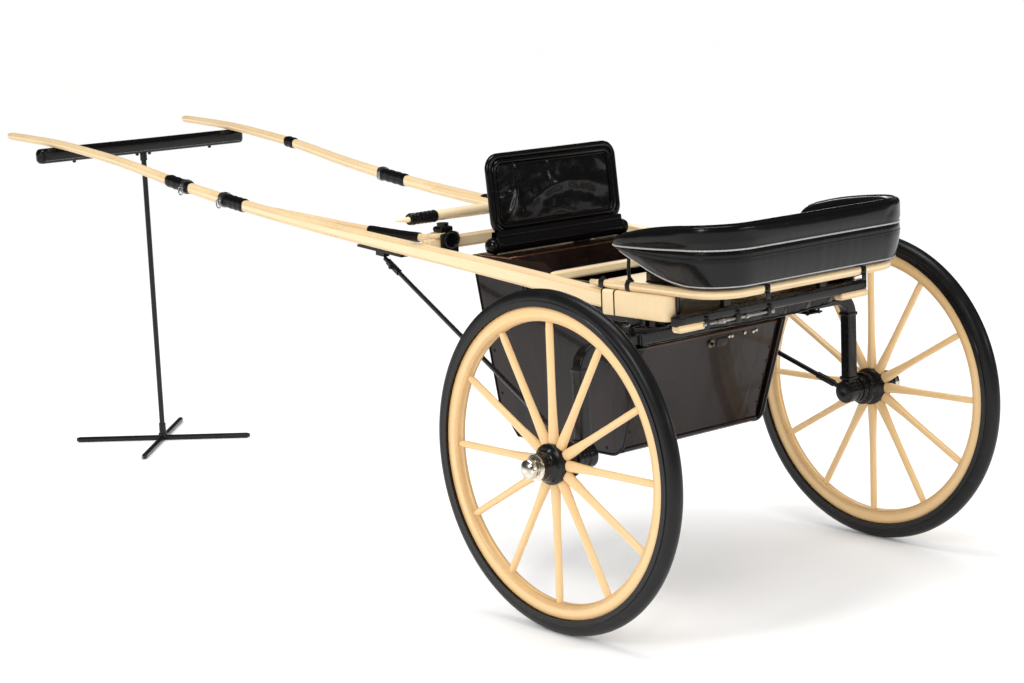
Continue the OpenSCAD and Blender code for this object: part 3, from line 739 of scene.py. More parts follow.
def wheel(side):
    """Rubber tyre in its channel, wooden rim, twelve turned spokes, and the hub."""
    centre, out, body = WHEEL[side], OUT[side], side + "_wheel"
    tyre = piece(side + "_rubber_tyre", lathe(Stock(), tyre_profile(), centre, out, RIM_STEPS), RUBBER,
                 body, 50)
    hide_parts(side + "_tyre")

    lip, wide = 0.0022, TYRE_W / 2 + 0.003
    outline = [(FELLOE_R, -wide), (CHANNEL_R + 0.011, -wide), (CHANNEL_R + 0.012, -wide + lip),
               (CHANNEL_R, -wide + lip + 0.001), (CHANNEL_R, wide - lip - 0.001),
               (CHANNEL_R + 0.012, wide - lip), (CHANNEL_R + 0.011, wide), (FELLOE_R, wide)]
    stock = lathe(Stock(), [(r, x, 0.3) for r, x in outline], centre, out, RIM_STEPS)
    rim = piece(side + "_tyre_channel", stock, IRON, body, 30)
    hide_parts(side + "_channel")

    half = FELLOE_W / 2
    outline = [(FELLOE_R, -half), (FELLOE_R, half), (FELLOE_IN + 0.006, half), (FELLOE_IN, half - 0.009),
               (FELLOE_IN, 0.009 - half), (FELLOE_IN + 0.006, -half)]
    stock = lathe(Stock(), soft_profile(outline, 0.005), centre, out, RIM_STEPS)
    felloe = piece(side + "_wooden_felloe", stock, SHADED_WHEEL_CREAM, body, 45)
    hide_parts(side + "_felloe")

    def spoke_section(i, share):
        flat = 0.022 + 0.0121 * math.exp(-(share / 0.22) ** 2)
        deep = 0.024 + 0.006 * math.exp(-(share / 0.3) ** 2)
        tenon = 1.0 if share < 0.955 else 0.86
        points = ellipse(flat * tenon, deep * tenon, 20)[0]
        return points, [0.1 + 0.25 * (abs(b) > deep * 0.4) for _, b in points]

    foot = Vector((0, 0, HUB_R - 0.004))
    one = sweep(Stock(), line(foot, Vector((0, 0, FELLOE_IN + 0.002)), 16), spoke_section, (1, 0, 0))
    values = {"Count": SPOKES, "Phase": 0.0, "Centre": centre, "Material": SHADED_WHEEL_CREAM}
    spokes = RING.grow(side + "_turned_spokes", one.mesh("spoke"), values, "cream_wood", body, 60)
    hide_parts(side + "_spokes")

    hub_pieces(side, centre, out, body)


def hub_pieces(side, centre, out, body):
    """Stepped iron hub, its clamping bolts and the plated nut cap."""
    steps = [(BORE_R, HUB_BACK), (0.04, HUB_BACK), (0.044, HUB_BACK + 0.006), (0.044, -0.064),
             (0.054, -0.062), (0.0545, -0.052), (0.0455, -0.049), (0.046, -0.034), (HUB_R - 0.006, -0.029),
             (HUB_R, -0.024), (HUB_R, 0.024), (HUB_R - 0.006, 0.0285), (0.053, 0.03), (0.046, 0.042),
             (0.0415, 0.045), (0.0415, 0.058), (0.038, 0.062), (0.0395, 0.066), (0.0395, 0.0745),
             (BORE_R, 0.0745)]
    hub = piece(side + "_iron_hub", lathe(Stock(), soft_profile(steps, 0.002, 2), centre, out, 96), IRON,
                body, 35)
    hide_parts(side + "_hub")

    spots = []
    for a in angles(6):
        radial = Vector((0, math.sin(a + math.pi / 6), math.cos(a + math.pi / 6)))
        spots.append((centre + Vector((out * 0.0295, 0, 0)) + radial * 0.0505, (out, 0, 0)))
    heads(side + "_hub_bolts", spots, 0.0055, 0.005, 6, DULL_IRON, "black_iron", body)

    cap = Stock()
    tail = [(0.0395, 0.0), (0.0395, 0.004), (0.031, 0.006), (0.0255, 0.008), (0.0255, 0.0145),
            (0.029, 0.016)]
    nose = [(0.028, 0.0345), (0.024, 0.037), (0.0205, 0.0405), (0.0135, 0.044), (0.006, 0.0455),
            (0.0002, 0.0458)]
    for profile in (tail, nose):
        lathe(cap, [(r, CAP_X + x, 0) for r, x in profile], centre, out, 72, closed=False)
    rings = []
    for x, size in ((0.016, 0.93), (0.019, 1.0), (0.031, 1.0), (0.0345, 0.93)):
        ring = []
        for a in angles(72):
            facet = math.cos(math.pi / 8) / math.cos((a % (math.pi / 4)) - math.pi / 8)
            r = 0.0298 * size * min(1.0, facet * 1.02)
            ring.append(centre + Vector((out * (CAP_X + x), r * math.sin(a), r * math.cos(a))))
        rings.append(ring)
    cap.strip(rings, [0.0] * 72, caps=False)
    nut = piece(side + "_plated_cap", cap, NICKEL, body, 25)
    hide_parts(side + "_cap")


# ---------- shafts ----------
def shaft(side):
    """Bent shaft: its middle line and size come from the frame's own bar."""
    rows = rows_along(side + "_shaft")
    y = rows[:, 0]
    fine = np.linspace(y[0], y[-1], 150)
    x0, x1, z0, z1 = (np.interp(fine, y, rows[:, i]) for i in range(1, 5))
    path = [Vector(p) for p in zip((x0 + x1) / 2, fine, (z0 + z1) / 2)]

    def section(i, share):
        width, deep = x1[i] - x0[i], z1[i] - z0[i]
        nose = round_end(fine[-1] - fine[i], 0.05, 0.02)
        width, deep = width * nose, deep * (0.35 + 0.65 * nose)
        start = min((fine[i] - fine[0]) / 0.012, 1.0)
        inset = 0.003 * (1 - start)
        corner = 0.007 + (min(width, deep) * 0.42 - 0.007) * min(1.0, max(0.0, share * 1.9 - 0.25))
        return rounded(width - inset, deep - inset, corner, 4)

    bar = piece(side + "_bent_shaft", sweep(Stock(), path, section), CREAM, sharp=50)
    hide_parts(side + "_shaft")
    return path, x1 - x0, z1 - z0


def along_shaft(shaft_data, y_mm, length_mm, grow, count=9):
    """Path and sections that hug a stretch of a shaft, standing out by grow."""
    path, widths, depths = shaft_data
    ys = np.array([p.y for p in path])
    wanted = np.linspace(AXLE_Y + y_mm * MM, AXLE_Y + (y_mm + length_mm) * MM, count)
    made = [Vector((np.interp(w, ys, [p.x for p in path]), w, np.interp(w, ys, [p.z for p in path])))
            for w in wanted]
    sizes = [(np.interp(w, ys, widths) + 2 * grow, np.interp(w, ys, depths) + 2 * grow) for w in wanted]
    return made, sizes


def wrap(stock, shaft_data, y_mm, length_mm, grow, turns):
    """Leather bound round a shaft, its turns slightly proud of each other."""
    count = max(turns * 4 + 1, 9)
    path, sizes = along_shaft(shaft_data, y_mm, length_mm, grow, count)

    def section(i, share):
        width, deep = sizes[i]
        ridge = 0.0016 * abs(math.sin(math.pi * turns * share)) - (0.0012 if i in (0, count - 1) else 0)
        corner = min(width, deep) * 0.36
        return rounded(width + 2 * ridge, deep + 2 * ridge, corner, 4)

    return sweep(stock, path, section)


# Leather bindings as (place ahead of the axle, length, turns) and dees by place, in millimetres.
WRAPS = {"left": ((2330, 150, 4), (1985, 150, 5)), "right": ((2790, 60, 2), (2050, 165, 4), (1500, 90, 3))}
DEES = {"left": (2350, 2105), "right": (2190,)}


def shaft_fittings(left, right):
    """Leather bindings, their seams and rings, and the breeching dees on both shafts."""
    for side, data in (("left", left), ("right", right)):
        stock, seams = Stock(), []
        for y, length, turns in WRAPS[side]:
            wrap(stock, data, y, length, 0.0022, turns)
            path, sizes = along_shaft(data, y + 6, length - 12, 0.0045, 12)
            seams.append([p - Vector((0, 0, s[1] / 2)) for p, s in zip(path, sizes)])
        piece(side + "_shaft_bindings", stock, WRAP_LEATHER, sharp=50)
        stitches(side + "_binding_stitches", seams, 0.006, 0.0016, PIPING, "black_leather")

    dees = Stock()
    for side, data in (("left", left), ("right", right)):
        for y in DEES[side]:
            path, sizes = along_shaft(data, y, 20, 0.0052, 3)
            here, size = path[1], sizes[1]
            hung = Vector((OUT[side] * (size[0] / 2 + 0.006), 0, -0.012))
            ring = [here + hung + Vector((0, 0.014 * math.sin(a), 0.016 * math.cos(a))) for a in angles(20)]
            tube(dees, ring, 0.0026, (1, 0, 0), 8, True)
            sweep(dees, [path[0], path[2]], rounded(size[0] + 0.003, size[1] + 0.003, size[0] * 0.36, 4))
    piece("shaft_dees", dees, STEEL)


def shaft_ends():
    """Rounded blocks with their clip bands and end plates behind the shafts."""
    low, high = box("shaft_blocks")
    rear = box("block_plates")[0].y
    width, corner = 0.062, 0.026
    blocks, plates, clips = Stock(), Stock(), Stock()
    for out in (-1, 1):
        x_mid = out * (high.x - width / 2)
        levels = ((0.006, low.z), (0.0018, low.z + 0.002), (0.0, low.z + 0.007),
                  (0.0, high.z - 0.009), (0.0022, high.z - 0.0028), (0.008, high.z))
        rings = [block_outline(x_mid, width, rear + 0.004, high.y, corner, inset, z) for inset, z in levels]
        blocks.strip(rings, [0.35] * len(rings[0]))
        path = [Vector((x_mid - out * width / 2, rear + corner + 0.05 - 0.01 * k, 0)) for k in range(5)]
        for k in range(9):
            a = math.pi / 2 * k / 8
            path.append(Vector((x_mid - out * (width / 2 - corner + corner * math.cos(a)),
                                rear + corner - corner * math.sin(a), 0)))
        path += [Vector((x_mid - out * (width / 2 - corner) * (1 - k / 3), rear, 0)) for k in (1, 2)]
        tall, mid_z = high.z - low.z, (low.z + high.z) / 2
        sweep(plates, [p + Vector((0, 0, mid_z)) for p in path], rounded(0.0045, tall - 0.004, 0.002))
        for y in (high.y - 0.005, high.y - 0.058):
            ring = rounded(width + 0.0026, tall + 0.0026, 0.009, 4)
            sweep(clips, line((x_mid, y - 0.0022, mid_z), (x_mid, y + 0.0022, mid_z)), ring)
    obj = piece("rear_blocks", blocks, CREAM, sharp=50)
    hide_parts("shaft_blocks")
    obj = piece("rear_block_plates", plates, IRON, sharp=50)
    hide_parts("block_plates")
    piece("block_clip_bands", clips, IRON)


def block_outline(x_mid, width, rear, front, corner, inset, z):
    """Plan of a block: its rear corners fully rounded, its front corners barely."""
    ring = []
    half, sharp = width / 2 - inset, 0.004
    near, far = rear + inset + corner, front - inset - sharp
    for sign, y, r, start in ((-1, near, corner, 180), (1, near, corner, 270), (1, far, sharp, 0),
                              (-1, far, sharp, 90)):
        ring += arc_points(Vector((x_mid + sign * (half - r), y, z)), r, start, start + 90, 8)
    return ring


# ---------- front cross pieces and singletree ----------
def cross_pieces():
    """Bar across the shafts and the two bent braces ahead of it, with their leather sleeves."""
    low, high = box("front_crossbar")
    bar = Stock()
    block_mesh(bar, low, high, 0.008)
    obj = piece("front_cross_bar", bar, CREAM, sharp=50)
    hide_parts("front_crossbar")

    low, high = box("crossbar_braces")
    braces, sleeves, seams = Stock(), Stock(), []
    reach = high.y - low.y
    slope = (high.z - low.z - 0.028) / reach
    outer = high.x - 0.015
    for out in (-1, 1):
        places = [0, 0.08, 0.187, 0.33, 0.467, 0.72, 1.0]
        bends = [outer - inward for inward in (0.130, 0.093, 0.062, 0.038, 0.024, 0.0095, 0)]
        fine = np.linspace(0, 1, 40)
        xs = smooth(bends, places, fine)
        path = [Vector((out * x, low.y + 0.004 + t * (reach - 0.008), low.z + 0.014 + slope * reach * t))
                for x, t in zip(xs, fine)]

        def section(i, share):
            size = 0.0285 * (1 - 0.45 * max(0, share - 0.8) / 0.2)
            return rounded(size, 0.027, 0.011, 4)

        sweep(braces, path, section)
        part = path[5:16]
        ribbed = [rounded(0.0335 + proud, 0.0325 + proud, 0.013, 4) for proud in (0, 0.001)]
        sweep(sleeves, part, lambda i, share: ribbed[i % 2])
        seams.append([p - Vector((0, 0, 0.0172)) for p in part])
    obj = piece("bent_braces", braces, CREAM, sharp=50)
    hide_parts("crossbar_braces")
    piece("brace_sleeves", sleeves, WRAP_LEATHER)
    stitches("sleeve_stitches", seams, 0.006, 0.0015, PIPING, "black_leather")


TREE_HOLE_X, TREE_TIP, HOLE_SWELL = 0.43, 0.15, 0.03


def singletree():
    """Turned bar with leather-bound ends and its trace eyes."""
    low, high = box("singletree")
    centre = (low + high) / 2
    half = high.x
    bar = Stock()
    for out in (-1, 1):
        def section(i, share):
            x = share * half
            tall = 0.042 - 0.012 * share
            wide = 0.038 - 0.009 * share
            if x > half - TREE_TIP:
                t = (x - half + TREE_TIP) / TREE_TIP
                tall *= max(1 - t ** 1.8 * 0.86, 0.12)
                wide *= max(1 - t ** 2.2 * 0.8, 0.16)
            if abs(x - TREE_HOLE_X) < HOLE_SWELL:
                wide += 0.006 * (1 - abs(x - TREE_HOLE_X) / HOLE_SWELL)
            return ellipse(wide, tall, 24)

        sweep(bar, line(centre, centre + Vector((out * half, 0, 0)), 60), section)
    obj = piece("turned_singletree", bar, CREAM, "singletree", 60)
    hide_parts("singletree")

    binding = Stock()
    for out in (-1, 1):
        for x, length, turns in ((0.33, 0.085, 5), (0.415, 0.03, 2)):
            def section(i, share):
                ridge = 0.002 * abs(math.sin(math.pi * turns * share))
                tall = 0.046 - 0.012 * (x + length * share) / half + 2 * ridge
                return ellipse(tall - 0.002, tall, 24)

            start, end = (centre + Vector((out * place, 0, 0)) for place in (x, x + length))
            sweep(binding, line(start, end, turns * 4 + 1), section)
    sweep(binding, line(centre - Vector((0.045, 0, 0)), centre + Vector((0.045, 0, 0)), 5),
          ellipse(0.045, 0.0475, 24))
    piece("singletree_bindings", binding, WRAP_LEATHER, "singletree", 60)

    eyes = Stock()
    for out in (-1, 1):
        spot = centre + Vector((out * TREE_HOLE_X, 0, 0))
        for z in (-0.017, 0.017):
            ring = [spot + Vector((0.0095 * math.cos(a), 0.0095 * math.sin(a), z)) for a in angles(20)]
            tube(eyes, ring, 0.0024, (0, 0, 1), 8, True)
    piece("trace_eyes", eyes, STEEL, "singletree")


def pivot_gear():
    """Leather-covered boxes, cream blocks and iron loops between the crossbar and the singletree."""
    low, high = box("front_crossbar")
    y_mid, top = (low.y + high.y) / 2, high.z
    blocks, covers, loops, straps = Stock(), Stock(), Stock(), Stock()
    for out in (-1, 1):
        spot = Vector((out * 0.3, y_mid, top))
        for stock, half, y0, y1, z0, z1, radius in (
                (blocks, 0.05, -0.027, 0.027, 0.0, 0.017, 0.006),
                (covers, 0.036, -0.04, -0.0235, -0.055, 0.0165, 0.007),
                (covers, 0.03, 0.0235, 0.036, -0.05, 0.0165, 0.006),
                (covers, 0.028, -0.024, 0.024, 0.0172, 0.0375, 0.008)):
            block_mesh(stock, spot + Vector((-half, y0, z0)), spot + Vector((half, y1, z1)), radius)
        path = [spot + Vector((0.03 * math.cos(a), -0.046, 0.026 * math.sin(a) - 0.005))
                for a in angles(24)]
        tube(loops, path, 0.004, (0, 1, 0), 10, True)
        for y in (-0.0255, 0.0255):
            path = [spot + Vector((0, y, k * 0.008 - 0.04)) for k in range(10)]
            sweep(straps, path, rounded(0.022, 0.003, 0.001, 2), (0, 1, 0))
    piece("singletree_blocks", blocks, CREAM, sharp=50)
    piece("leather_pivot_boxes", covers, WRAP_LEATHER, sharp=50)
    piece("pivot_loops", loops, IRON)
    piece("pivot_straps", straps, WRAP_LEATHER)


# ---------- axle, springs and stays ----------
POST_X = WHEEL["right"].x - 0.117
BOSS_FACE = WHEEL["right"].x - 0.085
STAY_TOP_X = 0.404


def arched_axle():
    """Square arched axle with a collar at each bend and a turned boss and spindle at each end."""
    high = box("axle")[1]
    top = high.z - 0.02
    bend = 0.062
    path = [Vector((-POST_X, AXLE_Y, WHEEL_R + k * (top - bend - WHEEL_R) / 6)) for k in range(6)]
    for k in range(13):
        a = math.pi - math.pi / 2 * k / 12
        path.append(Vector((-POST_X + bend + bend * math.cos(a), AXLE_Y, top - bend + bend * math.sin(a))))
    path += [Vector((x, AXLE_Y, top)) for x in np.linspace(-POST_X + bend, 0, 8)[1:]]
    path += [Vector((-p.x, p.y, p.z)) for p in reversed(path[:-1])]
    bar = Stock()
    sweep(bar, path, rounded(0.0395, 0.0395, 0.005), (0, 1, 0))
    boss = [(0.001, -0.064), (0.032, -0.064), (0.0375, -0.058), (0.0378, -0.03), (0.0335, -0.026),
            (0.0335, -0.018), (0.0378, -0.014), (0.0378, -0.004), (0.034, -0.001), (0.0159, -0.001),
            (0.0159, 0.15), (0.001, 0.15)]
    for out in (-1, 1):
        profile = soft_profile([(r, BOSS_FACE + x) for r, x in boss], 0.0015, 2)
        lathe(bar, profile, Vector((0, AXLE_Y, WHEEL_R)), out, 64)
        for z, size in ((WHEEL_R + 0.046, 0.046), (top - bend + 0.004, 0.045)):
            spot, reach = Vector((out * POST_X, AXLE_Y, z)), Vector((size / 2, size / 2, 0.006))
            block_mesh(bar, spot - reach, spot + reach, 0.003)
    obj = piece("arched_axle", bar, IRON, sharp=40)
    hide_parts("axle", "axle_cranks", "axle_posts", "axle_stubs")


def spring_clips():
    """Bent clips with their nuts and plates, which hold the springs to the axle."""
    axle_top = box("axle")[1].z
    clips, spots = Stock(), []
    half, rise, base, corner = 0.027, 0.030, -0.046, 0.008
    for out in (-1, 1):
        spot = Vector((out * middle("right_spring").x, AXLE_Y, axle_top))
        for y in (-0.028, 0.028):
            path = [spot + Vector((x, y, z)) for x, z in
                    ((-half, base), (-half, rise - corner), (corner - half, rise), (half - corner, rise),
                     (half, rise - corner), (half, base))]
            tube(clips, path, 0.0042, (0, 1, 0), 10)
            spots += [(spot + Vector((x, y, base + 0.004)), (0, 0, -1)) for x in (-half, half)]
        low, high = Vector((-0.034, -0.04, -0.047)), Vector((0.034, 0.04, -0.0405))
        block_mesh(clips, spot + low, spot + high, 0.002)
    piece("spring_clips", clips, IRON)
    heads("spring_clip_nuts", spots, 0.0078, 0.006, 6, DULL_IRON, "black_iron")


def forged_stays():
    """Flat stay from each shaft down to the axle's end, thicker at both eyes."""
    low, high = box("axle_stays")
    stays, nuts = Stock(), []
    for out in (-1, 1):
        start = Vector((out * STAY_TOP_X, high.y - 0.005, high.z - 0.006))
        end = Vector((out * (POST_X - 0.001), low.y + 0.005, low.z + 0.006))
        sweep(stays, line(start, end, 12), rounded(0.0165, 0.0115, 0.005, 4), (1, 0, 0))
        for near, far in ((0.02, 0.085), (0.93, 0.985)):
            thick = rounded(0.021, 0.0165, 0.005, 4)
            sweep(stays, line(start.lerp(end, near), start.lerp(end, far), 4), thick, (1, 0, 0))
        nuts.append((start.lerp(end, 0.05) + Vector((out * 0.0105, 0, 0)), (out, 0, 0)))
    obj = piece("forged_stays", stays, IRON)
    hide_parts("axle_stays")
    heads("stay_nuts", nuts, 0.0075, 0.006, 6, DULL_IRON, "black_iron")


# ---------- foot well ----------
DOOR_LEAN, DOOR_TOP, HEEL_R = math.radians(18), 0.8, 0.06
TOE_Y, TOE_DEEP, TOE_RISE = 0.620, 0.086, 0.098


def well_trim():
    """Beads, bound edges and screws round the foot well."""
    cowl_low, cowl_high = box("dash_cowl")
    side_low, side_high = box("body_left_side")
    x = abs(side_low.x)
    top = cowl_high.z + 0.002
    rear = cowl_low.y
    # The top bead is real trim, but its copper-brown colour is a painted highlight along the cowl's top
    # edge.
    bead = [Vector((-x, rear + 0.15 * k, top)) for k in (1.0, 0.66, 0.33, 0.04)]
    bead += [Vector((t, rear - 0.002, top)) for t in np.linspace(-x, x, 14)]
    bead += [Vector((x, rear + 0.15 * k, top)) for k in (0.04, 0.33, 0.66, 1.0)]
    cord("cowl_copper_bead", [bead], 0.0034, COPPER_HIGHLIGHT_METAL, "nickel")
    # Pale bead along the foot of the cowl's apron: its pale colour is a painted highlight line.
    low_bead = [Vector((t, rear - 0.002, cowl_low.z + 0.004))
                for t in np.linspace(0.014 - x, x - 0.014, 14)]
    cord("apron_piping", [low_bead], 0.0024, PIPING, "black_leather")

    floor = side_low.z
    rear_y = side_low.y
    slope = math.tan(DOOR_LEAN)
    heel = rear_y + (DOOR_TOP - floor) * slope + HEEL_R * (1 - math.sin(DOOR_LEAN)) / math.cos(DOOR_LEAN)
    edge = [(rear_y, DOOR_TOP + 0.05), (rear_y, DOOR_TOP + 0.004)]
    for k in range(7):
        a = math.pi + DOOR_LEAN + (math.pi / 2 - DOOR_LEAN) * k / 6
        edge.append((heel + HEEL_R * math.cos(a), floor + HEEL_R * (1 + math.sin(a))))
    toe = (AXLE_Y + TOE_Y, floor)
    toe_up = (toe[0] + TOE_DEEP, floor + TOE_RISE)
    front = (side_high.y, side_high.z)
    edge += [(heel + (toe[0] - heel) * k / 8, floor) for k in range(1, 9)]
    edge += [((toe[0] + toe_up[0]) / 2, (toe[1] + toe_up[1]) / 2), toe_up]
    edge += [Vector(toe_up).lerp(front, t) for t in (0.25, 0.5, 0.75, 0.99)]
    paths = [[Vector((out * (x - 0.001), y, z)) for y, z in edge] for out in (-1, 1)]
    cord("well_edge_welt", paths, 0.0048, LEATHER, "black_leather")

    spots = []
    for out in (-1, 1):
        for k in range(7):
            spots.append((Vector((out * x, heel + 0.02 + k * 0.062, floor + 0.018)), (out, 0, 0)))
        for k in range(7):
            y, z = Vector(toe_up).lerp(front, (k + 0.5) / 7)
            spots.append((Vector((out * x, y - 0.02, z)), (out, 0, 0)))
        for y_mm in (210, 560):
            for rise in (0.016, 0.1):
                spots.append((Vector((out * (x + 0.008), AXLE_Y + y_mm * MM, 0.84 + rise)), (out, 0, 0)))
    heads("well_screws", spots, 0.0048, 0.0022, 12, DULL_IRON, "black_iron")


def rear_door_trim():
    """Bound top edge, screws, latch plate and bright studs of the rear door."""
    low, high = box("rear_door")
    half = high.x
    foot = Vector((0, AXLE_Y + 0.042 + (DOOR_TOP - low.z - 0.011) * math.tan(DOOR_LEAN), low.z + 0.011))
    rise = Vector((0, -math.sin(DOOR_LEAN), math.cos(DOOR_LEAN)))
    back = Vector((0, -math.cos(DOOR_LEAN), -math.sin(DOOR_LEAN)))
    tall = (DOOR_TOP - foot.z) / math.cos(DOOR_LEAN)

    def on(x, z, out=0.0):
        return foot + Vector((x, 0, 0)) + rise * z + back * (0.006 + out)

    # The rolled edge's brown colour is a painted highlight along the door's top.
    paths = [[on(x, tall - 0.004, -0.006) for x in np.linspace(-half + 0.004, half - 0.004, 12)]]
    cord("door_rolled_edge", paths, 0.0068, BROWN_HIGHLIGHT_LEATHER, "black_leather", "rear_door")
    spots = [(on(x, 0.06 + 0.05 * k), tuple(back)) for x in (0.012 - half, half - 0.012) for k in range(5)]
    heads("door_screws", spots, 0.0042, 0.002, 12, DULL_IRON, "black_iron", "rear_door")
    studs = [(on(x, tall - drop), tuple(back)) for x, drop in
             ((0.078, 0.021), (0.092, 0.0215), (0.150, 0.019), (0.190, 0.021), (0.203, 0.018))]
    heads("door_latch_studs", studs, 0.0052, 0.004, 12, NICKEL, "nickel", "rear_door")
    plate = Stock()
    ring = rounded(0.05, 0.03, 0.008, 4)
    rings = []
    for lift, size in ((0.0, 1.0), (0.002, 1.0), (0.003, 0.92)):
        rings.append([on(0.05 + a * size, tall - 0.036 + b * size, lift) for a, b in ring[0]])
    plate.strip(rings, ring[1])
    piece("door_latch_plate", plate, DULL_IRON, "rear_door")


def rear_bar():
    """Rounded iron rear bar with a wooden block under each end."""
    low, high = box("rear_bar")
    bar = Stock()
    size = high.z - low.z
    y, z = (low.y + high.y) / 2, (low.z + high.z) / 2
    path = [Vector((t, y, z)) for t in np.linspace(low.x, high.x, 40)]

    def section(i, share):
        nose = round_end(min(share, 1 - share) * (high.x - low.x), 0.02, 0.01)
        return rounded(size * nose, size * (0.7 + 0.3 * nose), 0.012, 4)

    sweep(bar, path, section)
    obj = piece("rounded_rear_bar", bar, IRON, sharp=50)
    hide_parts("rear_bar")

    ends = Stock()
    for out in (-1, 1):
        x = sorted((out * 0.298, out * 0.424))
        block_mesh(ends, (x[0], low.y - 0.002, low.z - 0.017), (x[1], high.y - 0.002, low.z + 0.007), 0.007)
    piece("rear_bar_wooden_ends", ends, CREAM, sharp=50)


def hinge_rod():
    """Bright rod along the rear bar, with its knuckles, clips and bolts."""
    low = box("rear_bar")[0]
    rod, spots = Stock(), []
    x0, x1, rod_y, rod_z = -0.328, -0.02, low.y + 0.004, low.z - 0.004
    tube(rod, line((x0, rod_y, rod_z), (x1, rod_y, rod_z), 8), 0.0048, (0, 0, 1), 12)
    for x, length, grow in ((x0, 0.014, 0.0085), (x0 + 0.065, 0.03, 0.0075), (-0.245, 0.012, 0.009),
                            (-0.14, 0.012, 0.0078), (x1 - 0.012, 0.016, 0.0085)):
        tube(rod, line((x, rod_y, rod_z), (x + length, rod_y, rod_z), 3), grow, (0, 0, 1), 14)
    piece("rear_hinge_rod", rod, STEEL)
    clips = Stock()
    for x in (-0.31, -0.175, -0.035):
        block_mesh(clips, (x - 0.011, low.y - 0.0035, rod_z - 0.013),
                   (x + 0.011, low.y + 0.022, rod_z + 0.016), 0.003)
        spots.append((Vector((x, low.y - 0.0035, rod_z + 0.022)), (0, -1, 0)))
    piece("hinge_rod_clips", clips, DULL_IRON)
    heads("hinge_rod_bolts", spots, 0.005, 0.004, 6, DULL_IRON, "black_iron")


def rear_apron():
    """Hanging leather edge under the deck, softly folded, with a bead along its foot."""
    deck_low = box("rear_deck")[0]
    apron = Stock()
    half = abs(deck_low.x) - 0.03
    columns, rows = 48, 10
    rings = []
    for j in range(rows + 1):
        v = j / rows
        ring = []
        for i in range(columns + 1):
            u = -1 + 2 * i / columns
            drop = (0.046 + 0.012 * (1 - u * u)) * v
            fold = 0.003 * math.sin(u * 19 + v * 2) * v + 0.0025 * math.sin(u * 41) * v * v
            p = Vector((u * half, deck_low.y + 0.012 + fold + 0.008 * v * v, deck_low.z - drop))
            ring.append(p)
        rings.append(ring)
    apron.strip(rings, [0.0] * (columns + 1), closed=False)
    obj = new_object("rear_leather_apron", apron.mesh("apron_sheet"))
    thick = obj.modifiers.new("thick", "SOLIDIFY")
    thick.thickness = 0.0025
    solid = settled_mesh(obj)
    obj.modifiers.clear()
    obj.data = solid
    finish_piece(obj, LEATHER, "chassis", 60)
    cord("apron_brown_bead", [rings[-1]], 0.0034, WRAP_LEATHER, "black_leather")


# ---------- dash ----------
DASH_LEAN, DASH_TALL = math.radians(6), 0.25
DASH_UP = Vector((0, math.sin(DASH_LEAN), math.cos(DASH_LEAN)))
DASH_BACK = Vector((0, -math.cos(DASH_LEAN), math.sin(DASH_LEAN)))


def dash_ring(inset, lift, corner, foot, half, tall):
    """Round-cornered outline in the dash's plane, inset from its frame and lifted off its face."""
    points = []
    for cx, cz, turn in ((half - inset - corner, inset + corner, -90),
                         (half - inset - corner, tall - inset - corner, 0),
                         (-half + inset + corner, tall - inset - corner, 90),
                         (-half + inset + corner, inset + corner, 180)):
        for k in range(9):
            a = math.radians(turn + 90 * k / 8)
            points.append((cx + corner * math.cos(a), cz + corner * math.sin(a)))
    made = []
    for i in range(len(points)):
        a, b = points[i], points[(i + 1) % len(points)]
        gap = math.hypot(b[0] - a[0], b[1] - a[1])
        steps = max(1, int(gap / 0.02))
        made += [(a[0] + (b[0] - a[0]) * k / steps, a[1] + (b[1] - a[1]) * k / steps) for k in range(steps)]
    return [foot + Vector((x, 0, 0)) + DASH_UP * z + DASH_BACK * lift for x, z in made]


def dash():
    """Leather-bound frame with two welts, and a creased panel stretched inside it."""
    low, high = box("dash_frame")
    r = 0.011
    half, tall = high.x - r, DASH_TALL
    foot = Vector((0, middle("dash_roll").y, low.z + r))
    frame_skin = Stock()
    tube(frame_skin, dash_ring(0, 0, 0.042, foot, half, tall), r, DASH_BACK, 16, True)
    for lift in (0.0035, -0.0035):
        tube(frame_skin, dash_ring(0.0185, lift, 0.031, foot, half, tall), 0.0088, DASH_BACK, 14, True)
    obj = piece("dash_bound_frame", frame_skin, LEATHER, sharp=0)
    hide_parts("dash_frame")
    cord("dash_welt", [dash_ring(0.0305, 0.0085, 0.022, foot, half, tall),
                       dash_ring(0.0305, -0.0085, 0.022, foot, half, tall)], 0.0021, LEATHER,
         "black_leather", looped=True)

    panel = Stock()
    for way in (1, -1):
        columns, rows = 150, 76
        rings = []
        for j in range(rows + 1):
            v = j / rows
            ring = []
            for i in range(columns + 1):
                u = -1 + 2 * i / columns
                x, z = u * (half - 0.022), 0.022 + v * (tall - 0.044)
                lift = 0.004 + dash_relief(u * way, v) * (1 if way == 1 else 0.8)
                ring.append(foot + Vector((x, 0, 0)) + DASH_UP * z + DASH_BACK * (lift * way))
            rings.append(ring)
        panel.strip(rings, [0.0] * (columns + 1), closed=False)
    obj = piece("dash_creased_panel", panel, LEATHER, sharp=0)
    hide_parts("dash_panel")


def ridge(u, v, start, end, width, bow):
    """Soft fold between two places of the panel, fading at its ends; bow bends it."""
    a, b, p = Vector(start), Vector(end), Vector((u, v))
    span = b - a
    t = max(0.0, min(1.0, (p - a).dot(span) / span.length_squared))
    normal = Vector((-span.y, span.x)).normalized()
    near = a + span * t + normal * bow * math.sin(math.pi * t)
    gap = (p - near).length
    return math.exp(-(gap / width) ** 2) * (math.sin(math.pi * min(max(t, 0.02), 0.98)) ** 0.5)


